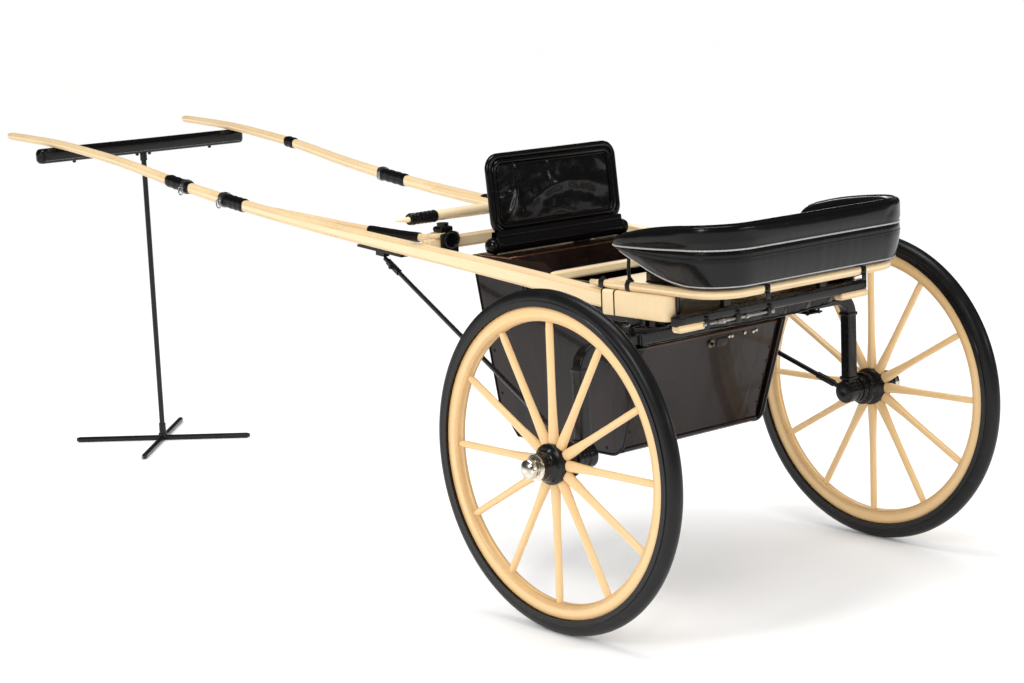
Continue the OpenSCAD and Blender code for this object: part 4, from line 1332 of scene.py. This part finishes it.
# Height of each fold, its two ends as shares of the half width and of the height, its width and its bow.
DASH_FOLDS = (
    (-0.0042, (-0.68, 1.0), (-0.66, 0.55), 0.05, 0.0),
    (-0.0032, (-0.12, 1.02), (-0.1, 0.66), 0.04, 0.0),
    (0.0052, (-0.56, 0.3), (0.95, 0.42), 0.11, 0.22),
    (-0.0045, (-0.58, 0.18), (-0.62, 0.78), 0.06, 0.05),
    (0.0042, (-0.84, 0.12), (-0.64, 0.62), 0.07, -0.05),
    (-0.0024, (-0.98, 0.5), (-0.74, 0.58), 0.045, 0.0),
    (-0.0024, (0.1, 0.5), (0.9, 0.18), 0.09, 0.0),
    (0.0025, (0.72, 0.98), (0.95, 0.72), 0.07, 0.0),
)
DASH_ASPECT = 2.2


def dash_relief(u, v):
    """Height of the panel's padding and creases."""
    border = (1 - u ** 8) * (1 - (2 * v - 1) ** 8)
    x = u * DASH_ASPECT
    height = 0.0035 * border
    for rise, (u0, v0), (u1, v1), width, bow in DASH_FOLDS:
        height += rise * ridge(x, v, (u0 * DASH_ASPECT, v0), (u1 * DASH_ASPECT, v1), width, bow)
    rumple = noise.noise(Vector((x * 1.7, v * 2.6, 3.1))) * 0.0032
    rumple += noise.noise(Vector((x * 5, v * 7, 8.2))) * 0.0009
    return height + rumple * border


def dash_roll():
    """Padded leather roll under the dash, gathered near its ends, with a welt round each end."""
    low, high = box("dash_roll")
    centre = (low + high) / 2
    radius = (high.z - low.z) / 2
    roll = Stock()
    steps, around = 90, 28

    def section(i, share):
        left = min(share, 1 - share) * (high.x - low.x)
        nose = round_end(left, 0.016, 0.015)
        tuck = 1 - 0.05 * math.exp(-((left - 0.03) / 0.008) ** 2)
        points = []
        for a in angles(around):
            seam = 0.10 * math.exp(-(((a - 4.5) + math.pi) % (2 * math.pi) - math.pi) ** 2 / 0.02)
            r = (radius - 0.002) * nose * tuck * (1 - seam)
            points.append((r * math.cos(a), r * math.sin(a)))
        return points, [0.0] * around

    path = [Vector((x, centre.y, centre.z)) for x in np.linspace(low.x, high.x, steps)]
    sweep(roll, path, section)
    obj = piece("dash_padded_roll", roll, LEATHER, sharp=0)
    pins = {v.index: 1.0 for v in obj.data.vertices
            if min(v.co.x - low.x, high.x - v.co.x) < 0.014 or v.co.z < centre.z - radius * 0.84}
    swell(obj, pins, 1.2, 0.0035)
    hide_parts("dash_roll")
    tight = radius * 0.97
    rings = [[Vector((x, centre.y + tight * math.cos(a), centre.z + tight * math.sin(a)))
              for a in angles(32)] for x in (low.x + 0.03, high.x - 0.03)]
    cord("roll_end_welts", rings, 0.0022, LEATHER, "black_leather", looped=True)


def dash_flap():
    """Leather flap from the foot of the dash frame down over the roll."""
    low, high = box("dash_roll")
    centre, radius = (low + high) / 2, (high.z - low.z) / 2
    flap = Stock()
    foot_z = box("dash_frame")[0].z
    reach = high.x - 0.03
    half_flap = [(high.z - 0.02, radius * 0.72), (high.z - 0.006, radius * 0.42), (foot_z + 0.004, 0.0125),
                 (foot_z + 0.016, 0.0105)]
    outline = [(z, -y) for z, y in half_flap] + half_flap[::-1]
    rings = [[Vector((x, centre.y + y, z)) for x in np.linspace(-reach, reach, 60)] for z, y in outline]
    flap.strip(rings, [0.0] * 60, closed=False, looped=True)
    piece("dash_flap", flap, LEATHER, sharp=0)


# ---------- seat ----------
RAIL_HALF, RAIL_REAR, RAIL_CORNER, RAIL_FRONT = 410, 385, 108, 150
BAND_X = 0.216


def seat_rail():
    """Bentwood rail round the seat, with its iron bands and their bolts."""
    low, high = box("seat_rail")
    z = (low.z + high.z) / 2 / MM
    path = u_path(RAIL_HALF, RAIL_REAR, RAIL_CORNER, RAIL_FRONT, z)
    rail = Stock()

    def section(i, share):
        nose = min(1.0, 0.55 + min(i, len(path) - 1 - i) * 0.225)
        return rounded(0.0245 * nose, 0.0285 * nose, 0.0105, 4)

    sweep(rail, path, section)
    obj = piece("bentwood_seat_rail", rail, CREAM, sharp=0)
    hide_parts("seat_rail")

    bands, spots = Stock(), []
    ring = rounded(0.0275, 0.0315, 0.011, 4)
    y = AXLE_Y - RAIL_REAR * MM
    for x in (-BAND_X, BAND_X):
        sweep(bands, line((x - 0.011, y, z * MM), (x + 0.011, y, z * MM), 3), ring)
        block_mesh(bands, (x - 0.009, y - 0.0165, z * MM - 0.03),
                   (x + 0.009, y - 0.011, z * MM - 0.01), 0.002)
        spots.append((Vector((x, y - 0.0138, z * MM)), (0, -1, 0)))
    for out in (-1, 1):
        x = out * RAIL_HALF * MM
        for y_mm in (-20, 95):
            y = AXLE_Y + y_mm * MM
            sweep(bands, line((x, y - 0.009, z * MM), (x, y + 0.009, z * MM), 3), ring)
            spots.append((Vector((x, y, z * MM + 0.0156)), (0, 0, 1)))
    piece("seat_rail_bands", bands, DULL_IRON)
    heads("seat_rail_bolts", spots, 0.0055, 0.0035, 12, DULL_IRON, "black_iron")


def seat_boards():
    """Round-edged seat board, and the bar between the shafts ahead of it."""
    low, high = box("seat_board")
    board = Stock()
    path = u_path(high.x / MM - 1, (AXLE_Y - low.y) / MM - 1, 95, RAIL_FRONT - 1, low.z / MM)
    centre = Vector((0, AXLE_Y - 0.08, 0))
    ways = [(Vector((p.x, p.y, 0)) - centre).normalized() for p in path]
    rings = [[p - way * inset + Vector((0, 0, lift)) for p, way in zip(path, ways)]
             for inset, lift in ((0.006, 0.0), (0.002, 0.001), (0.0, 0.004), (0.0, 0.010),
                                 (0.002, 0.0132), (0.006, 0.0138))]
    board.strip(rings, [0.5] * len(path))
    obj = piece("wooden_seat_board", board, CREAM, sharp=50)
    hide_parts("seat_board")

    low, high = box("seat_crossbar")
    bar = Stock()
    block_mesh(bar, low, high, 0.007)
    obj = piece("seat_front_bar", bar, CREAM, sharp=50)
    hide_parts("seat_crossbar")


def arm_irons():
    """Slim forged iron under each arm of the seat back, with its foot on the rail."""
    low, high = box("arm_irons")
    arms = Stock()
    for out in (-1, 1):
        x, y = out * RAIL_HALF * MM, (low.y + high.y) / 2
        path = [Vector((x, y + 0.004 * math.sin(t * 3.1), low.z + (high.z - low.z) * t))
                for t in np.linspace(0, 1, 14)]
        tube(arms, path, 0.0056, (0, 1, 0), 14)
        tube(arms, line((x, y, low.z), (x, y, low.z + 0.006)), 0.0125, (0, 1, 0), 16)
        tube(arms, line((x, y, low.z + 0.006), (x, y, low.z + 0.012)), 0.0085, (0, 1, 0), 6)
    obj = piece("forged_arm_irons", arms, IRON)
    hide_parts("arm_irons")


CUSHION_INSET, CUSHION_CORNER = 7, 84
CROWN, EDGE_DROP, BUTTON_DIP, DIP_SPREAD = 0.008, 0.008, 0.010, 0.0011


def seat_cushion():
    """Leather cushion: crowned top, plain sides, welted edges and four shallow buttoned dips."""
    low, high = box("seat_cushion")
    z0, tall = low.z, high.z - low.z
    half, rear, front = ((edge / MM - CUSHION_INSET) for edge in (high.x, AXLE_Y - low.y, high.y - AXLE_Y))
    outline = u_path(half, rear, CUSHION_CORNER, front, 0, 10)
    outline += [outline[-1].lerp(outline[0], k / 16) for k in range(1, 16)]
    centre = Vector((0, (low.y + high.y) / 2, 0))
    buttons = [(x, y) for x in (-0.24, -0.08, 0.08, 0.24) for y in (low.y + 0.13, high.y - 0.15)]
    levels = [(0.0, 0.0), (0.5, 0.0), (0.9, 0.002), (0.985, 0.006), (1.0, 0.014), (1.0, 0.5 * tall),
              (1.0, tall - 2 * EDGE_DROP), (0.985, tall - EDGE_DROP)]
    first_top = len(levels)
    levels += [(share, tall - EDGE_DROP) for share in np.linspace(0.95, 0.02, 34)]
    rings = []
    for index, (share, lift) in enumerate(levels):
        ring = []
        for p in outline:
            spot = centre + (Vector((p.x, p.y, 0)) - centre) * max(share, 0.001)
            height = lift
            if index >= first_top:
                height += CROWN * (1 - share ** 4) - 0.003
                for bx, by in buttons:
                    away = (spot.x - bx) ** 2 + (spot.y - by) ** 2
                    height -= BUTTON_DIP * math.exp(-away / DIP_SPREAD)
                height += 0.0016 * noise.noise(Vector((spot.x * 9, spot.y * 9, 2.0)))
            ring.append(Vector((spot.x, spot.y, z0 + height)))
        rings.append(ring)
    cushion = Stock().strip(rings, [0.0] * len(outline))
    obj = piece("leather_seat_cushion", cushion, SEAT_LEATHER, sharp=0)
    pins = {}
    for v in obj.data.vertices:
        at_edge = v.co.z < z0 + 0.01 or abs(v.co.z - (z0 + tall - EDGE_DROP)) < 0.0006
        if at_edge or any(math.hypot(v.co.x - bx, v.co.y - by) < 0.02 for bx, by in buttons):
            pins[v.index] = 1.0
    swell(obj, pins, 1.5, 0.006)
    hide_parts("seat_cushion")
    spots = [(Vector((x, y, z0 + tall - 0.0125)), (0, 0, 1)) for x, y in buttons]
    heads("cushion_buttons", spots, 0.009, 0.004, 14, SEAT_LEATHER, "black_leather")
    welts = [[Vector((p.x, p.y, z0 + z)) for p in outline] for z in (0.012, tall - 0.011)]
    cord("cushion_welts", welts, 0.0026, SEAT_LEATHER, "black_leather", looped=True)


BACK_HALF, BACK_REAR, BACK_CORNER, BACK_FRONT, BACK_T = 419, 399, 119, 28, 0.062


def back_outline(y_mm):
    """Bottom, piping and top of the padded back in millimetres, from the fore-and-aft place."""
    places = [-399, -330, -260, -190, -125, -60, -15, 18, 28]
    bottom = smooth([1024, 1024, 1027, 1040, 1062, 1090, 1110, 1126, 1131], places, y_mm)
    seam = smooth([1142, 1141, 1139, 1136, 1134, 1133, 1133, 1134, 1135], places, y_mm)
    top = smooth([1217, 1214, 1209, 1202, 1193, 1180, 1168, 1151, 1139], places, y_mm)
    return float(bottom), float(seam), float(top)


BACK_COUNT = 48


def seat_back():
    """Padded leather back wrapped round both sides: one bolster roll above the piping, one below."""
    path = u_path(BACK_HALF, BACK_REAR, BACK_CORNER, BACK_FRONT, 0, 26)
    dense = [path[0]]
    for a, b in zip(path, path[1:]):
        steps = max(1, int(round((b - a).length / 0.009)))
        dense += [a.lerp(b, k / steps) for k in range(1, steps + 1)]
    lengths = [0.0]
    for a, b in zip(dense, dense[1:]):
        lengths.append(lengths[-1] + (b - a).length)
    total = lengths[-1]
    rings, seams, tops, lowers, inner, feet = [], [], [], [], [], []
    last = len(dense) - 1
    for i, p in enumerate(dense):
        way = (dense[min(i + 1, last)] - dense[max(i - 1, 0)]).normalized()
        outward = Vector((way.y, -way.x, 0)) * -1
        if outward.dot(Vector((p.x, p.y - AXLE_Y + 0.1, 0))) < 0:
            outward = -outward
        bottom, seam, top = back_outline((p.y - AXLE_Y) / MM)
        nose = round_end(min(lengths[i], total - lengths[i]), 0.06, 0.02)
        thick = BACK_T * (0.2 + 0.8 * nose) * 0.5
        ring = back_ring(p, outward, bottom * MM, seam * MM, top * MM, thick, nose, lengths[i] / total)
        rings.append(ring)
        seams.append(ring[SEAM_AT] + outward * 0.0012)
        lowers.append(ring[LOWER_AT] + outward * 0.0008)
        tops.append(ring[TOP_AT] + Vector((0, 0, 0.0012)) + outward * 0.001)
        inner.append(ring[INNER_AT] - outward * 0.0006)
        feet.append(ring[1] + outward * 0.0006)
    back = Stock().strip(rings, [0.0] * BACK_COUNT, lengths=lengths)
    obj = piece("padded_seat_back", back, SEAT_LEATHER, sharp=0)
    held = near_paths([seams, lowers, tops, inner, [r[0] for r in rings]], 0.0035)
    pins = {v.index: 1.0 for v in obj.data.vertices if held(v.co)}
    swell(obj, pins, 2.2, 0.006, 18)
    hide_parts("seat_back")
    cord("back_middle_piping", [seams], 0.0026, PIPING, "black_leather")
    cord("back_lower_piping", [lowers[10:-10]], 0.0015, SEAT_LEATHER, "black_leather")
    cord("back_bottom_piping", [feet[3:-3]], 0.002, PIPING, "black_leather")
    cord("back_top_welt", [tops[2:-2]], 0.0026, SEAT_LEATHER, "black_leather")
    cord("back_inner_welt", [inner[4:-4]], 0.0022, SEAT_LEATHER, "black_leather")


SEAM_AT, LOWER_AT, TOP_AT, INNER_AT = 14, 11, 24, 36


def near_paths(paths, reach):
    """Test of whether a place is within reach of a point of any path."""
    points = [p for path in paths for p in path]
    tree = KDTree(len(points))
    for i, p in enumerate(points):
        tree.insert(p, i)
    tree.balance()
    return lambda place: tree.find(place)[2] < reach


def back_ring(p, outward, bottom, seam, top, thick, nose, share):
    """One closed section: from the bottom edge up the outside, over the top and down the inside."""
    here = Vector((p.x, p.y, 0))
    ripple = 0.0009 * noise.noise(Vector((share * 60, 0.3, 0.0)))

    def at(out, z):
        return here + outward * out + Vector((0, 0, z))

    ring = []
    inset = 0.014 * nose + 0.001
    for k in range(SEAM_AT + 1):
        t = k / SEAM_AT
        z = bottom + (seam - bottom) * t
        bulge = math.sin(math.pi * min(t * 0.97 + 0.03, 1.0)) ** 0.7
        start = thick - inset * 1.5
        out = start + (thick - 0.003 - start) * min(1.0, t * 1.35) ** 0.8 + 0.0035 * nose * bulge + ripple
        if k == LOWER_AT:
            out -= 0.0016 * nose
        if k == SEAM_AT:
            out = thick - 0.0048 * nose
        ring.append(at(min(out, thick), z))
    for k in range(1, TOP_AT - SEAM_AT + 1):
        t = k / (TOP_AT - SEAM_AT)
        a = t * math.pi / 2
        z = seam + (top - 0.003 - seam) * (math.sin(a) ** 0.85)
        out = thick * (math.cos(a) ** 0.5) * 0.98 + 0.012 * nose * t
        ring.append(at(min(out, thick) + ripple, z))
    for k in range(1, INNER_AT - TOP_AT + 1):
        t = k / (INNER_AT - TOP_AT)
        a = t * math.pi / 2
        z = top - 0.003 - (top - seam) * 0.95 * (1 - math.cos(a)) ** 0.9
        out = 0.012 * nose * (1 - t) - thick * (math.sin(a) ** 0.55) * 0.97
        if k == INNER_AT - TOP_AT:
            out = -thick + 0.005 * nose
        ring.append(at(out, z))
    for k in range(1, BACK_COUNT - INNER_AT):
        t = k / (BACK_COUNT - INNER_AT)
        z = ring[INNER_AT].z + (bottom + 0.002 - ring[INNER_AT].z) * t
        out = -thick + 0.002 + (thick - inset * 0.8) * max(0, t - 0.72) / 0.28
        ring.append(at(out, z))
    return ring


# ---------- stand ----------
def stand_bar():
    """Padded T bar with two raised ribs, its stitched seam and its bolts."""
    low, high = box("stand_crossbar")
    tall, deep = high.z - low.z, high.y - low.y
    centre = (low + high) / 2
    pad = Stock()
    count = 90

    def section(i, share):
        nose = round_end(min(share, 1 - share) * (high.x - low.x), 0.022, 0.01)
        points = []
        around = 44
        for a in angles(around):
            ca, sa = math.cos(a), math.sin(a)
            x = math.copysign(deep / 2 * abs(ca) ** 0.62, ca)
            z = math.copysign(tall / 2 * abs(sa) ** 0.55, sa)
            for rib in (0.28, -0.1):
                x *= 1 + 0.09 * math.exp(-((z / tall - rib) / 0.045) ** 2)
            x *= 0.9
            points.append((x * (0.25 + 0.75 * nose), z * (0.55 + 0.45 * nose) * 0.985))
        return points, [0.0] * around

    path = [Vector((x, centre.y, centre.z)) for x in np.linspace(low.x, high.x, count)]
    sweep(pad, path, section)
    obj = piece("stand_padded_bar", pad, LEATHER, sharp=0)
    pins = {v.index: 1.0 for v in obj.data.vertices
            if min(v.co.x - low.x, high.x - v.co.x) < 0.03 or v.co.z < low.z + 0.008}
    swell(obj, pins, 0.8, 0.003)
    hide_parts("stand_crossbar")
    seam = [Vector((x, centre.y - deep * 0.42, low.z + 0.012))
            for x in np.linspace(low.x + 0.03, high.x - 0.03, 30)]
    stitches("stand_pad_stitches", [seam], 0.008, 0.0018, PIPING, "black_leather")
    spots = [(Vector((x, centre.y, low.z + 0.0005)), (0, 0, -1)) for x in (-0.33, -0.03, 0.03, 0.33)]
    heads("stand_pad_bolts", spots, 0.008, 0.006, 6, DULL_IRON, "black_iron")


def stand_pole():
    """Slim pole with a sleeve at each end, and the crossed foot it stands on."""
    low, high = box("stand_pole")
    x, y = 0.0, (low.y + high.y) / 2
    pole = Stock()
    tube(pole, line((x, y, low.z), (x, y, high.z), 20), 0.0108, (0, 1, 0), 20)
    tube(pole, line((x, y, high.z - 0.03), (x, y, high.z), 3), 0.0145, (0, 1, 0), 20)
    tube(pole, line((x, y, low.z), (x, y, low.z + 0.05), 3), 0.0145, (0, 1, 0), 20)
    obj = piece("stand_slim_pole", pole, IRON)
    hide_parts("stand_pole")

    low, high = box("stand_foot")
    reach = (high.x - low.x) / 2
    radius = 0.011
    foot = Stock()
    for turn in (45, -45):
        a = math.radians(turn)
        way = Vector((math.cos(a), math.sin(a), 0))
        half = (reach - radius) * math.sqrt(2) + radius * 0.9

        def section(i, share):
            nose = round_end(min(share, 1 - share) * 2 * half, radius, 0.01)
            return rounded(0.0215 * nose, 0.0205 * (0.6 + 0.4 * nose), 0.0075, 4)

        centre = Vector((x, y, radius))
        sweep(foot, line(centre - way * half, centre + way * half, 60), section)
    tube(foot, line((x, y, 0.014), (x, y, 0.03), 4), 0.018, (0, 1, 0), 20)
    obj = piece("stand_crossed_foot", foot, IRON)
    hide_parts("stand_foot")


# ---------- nodes that keep their own shape ----------
KEPT = {
    IRON: ["singletree_bolt", "singletree_rests", "shaft_irons", "left_spring", "right_spring",
           "spring_hangers", "body_irons", "door_pin", "rail_brackets"],
    ENAMEL: ["rear_deck", "body_left_side", "body_right_side", "body_floor", "body_front_panel",
             "dash_cowl", "rear_door"],
    TARNISHED: ["door_latch"],
}


def paint_kept_nodes():
    """Gives the frame's own visible nodes their material."""
    for material, names in KEPT.items():
        for name in names:
            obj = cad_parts[name]
            obj.data.materials.clear()
            obj.data.materials.append(material)


# ---------- studio ----------
CAMERA_AT = ahead(-5099, -4876, 2054)
CAMERA_TURN, CAMERA_DIP, CAMERA_ROLL = math.radians(40.94), math.radians(10.08), math.radians(-2.42)
SENSOR_W, FOCAL_SHARE = 36, 2.22432


def studio():
    """Camera, white floor and surroundings, and four soft lamps."""
    scene = bpy.context.scene
    data = bpy.data.cameras.new("view")
    camera = new_object("view", data)
    level = math.cos(CAMERA_DIP)
    look = Vector((math.sin(CAMERA_TURN) * level, math.cos(CAMERA_TURN) * level, -math.sin(CAMERA_DIP)))
    right = Vector((math.cos(CAMERA_TURN), -math.sin(CAMERA_TURN), 0))
    up = right.cross(look)
    c, s = math.cos(CAMERA_ROLL), math.sin(CAMERA_ROLL)
    right, up = right * c + up * s, up * c - right * s
    camera.matrix_world = Matrix.Translation(CAMERA_AT) @ Matrix((right, up, -look)).transposed().to_4x4()
    data.sensor_width = SENSOR_W
    data.lens = SENSOR_W * FOCAL_SHARE
    data.clip_end = 100
    scene.camera = camera

    floor_mesh = bpy.data.meshes.new("floor")
    far = 30
    corners = [(-far, -far, 0), (far, -far, 0), (far, far, 0), (-far, far, 0)]
    floor_mesh.from_pydata(corners, [], [(0, 1, 2, 3)])
    floor = new_object("floor", floor_mesh)
    paint = Paint("pale_floor")
    cloud = paint.noise(paint.place(), 2.0, 3.0)
    paint.set(Base_Color=paint.mix(cloud, (0.93, 0.93, 0.93), (0.95, 0.95, 0.945)), Roughness=1.0,
              Specular_IOR_Level=0.0)
    floor.data.materials.append(paint.material)

    world = bpy.data.worlds.new("soft_studio")
    scene.world = world
    world.use_nodes = True
    nodes, links = world.node_tree.nodes, world.node_tree.links
    plain = nodes["Background"]
    plain.inputs["Color"].default_value = (1, 1, 1, 1)
    plain.inputs["Strength"].default_value = 1.06
    dim = nodes.new("ShaderNodeBackground")
    dim.inputs["Color"].default_value = (0.9, 0.94, 1, 1)
    dim.inputs["Strength"].default_value = 0.07
    rays, blend = nodes.new("ShaderNodeLightPath"), nodes.new("ShaderNodeMixShader")
    links.new(rays.outputs["Is Glossy Ray"], blend.inputs[0])
    links.new(plain.outputs[0], blend.inputs[1])
    links.new(dim.outputs[0], blend.inputs[2])
    links.new(blend.outputs[0], nodes["World Output"].inputs[0])
    scene.view_settings.view_transform = "Standard"

    def lamp(name, place, aim, size, power, colour=(1, 1, 1)):
        light = bpy.data.lights.new(name, "AREA")
        light.shape = "RECTANGLE"
        light.size, light.size_y = size
        light.energy = power
        light.color = colour
        obj = new_object(name, light)
        obj.location = place
        obj.rotation_euler = (Vector(aim) - Vector(place)).to_track_quat("-Z", "Y").to_euler()

    centre = ahead(0, 900, 700)
    lamp("overhead", centre + Vector((-0.5, -0.5, 4.2)), centre, (3.0, 1.0), 75)
    lamp("key", centre + Vector((-4.5, -1.5, 2.6)), centre, (0.8, 1.8), 60, (1.0, 0.985, 0.96))
    lamp("rear_strip", centre + Vector((1.5, -5.0, 1.8)), centre, (2.4, 0.3), 22)
    lamp("far_fill", centre + Vector((4.5, 3.0, 2.5)), centre, (2.0, 0.8), 30)


# ---------- build ----------
left_data, right_data = shaft("left"), shaft("right")
shaft_fittings(left_data, right_data)
shaft_ends()
cross_pieces()
singletree()
pivot_gear()
arched_axle()
spring_clips()
forged_stays()
for wheel_side in ("left", "right"):
    wheel(wheel_side)
well_trim()
rear_door_trim()
rear_bar()
hinge_rod()
rear_apron()
dash()
dash_roll()
dash_flap()
seat_rail()
seat_boards()
arm_irons()
seat_cushion()
seat_back()
stand_bar()
stand_pole()
paint_kept_nodes()
studio()
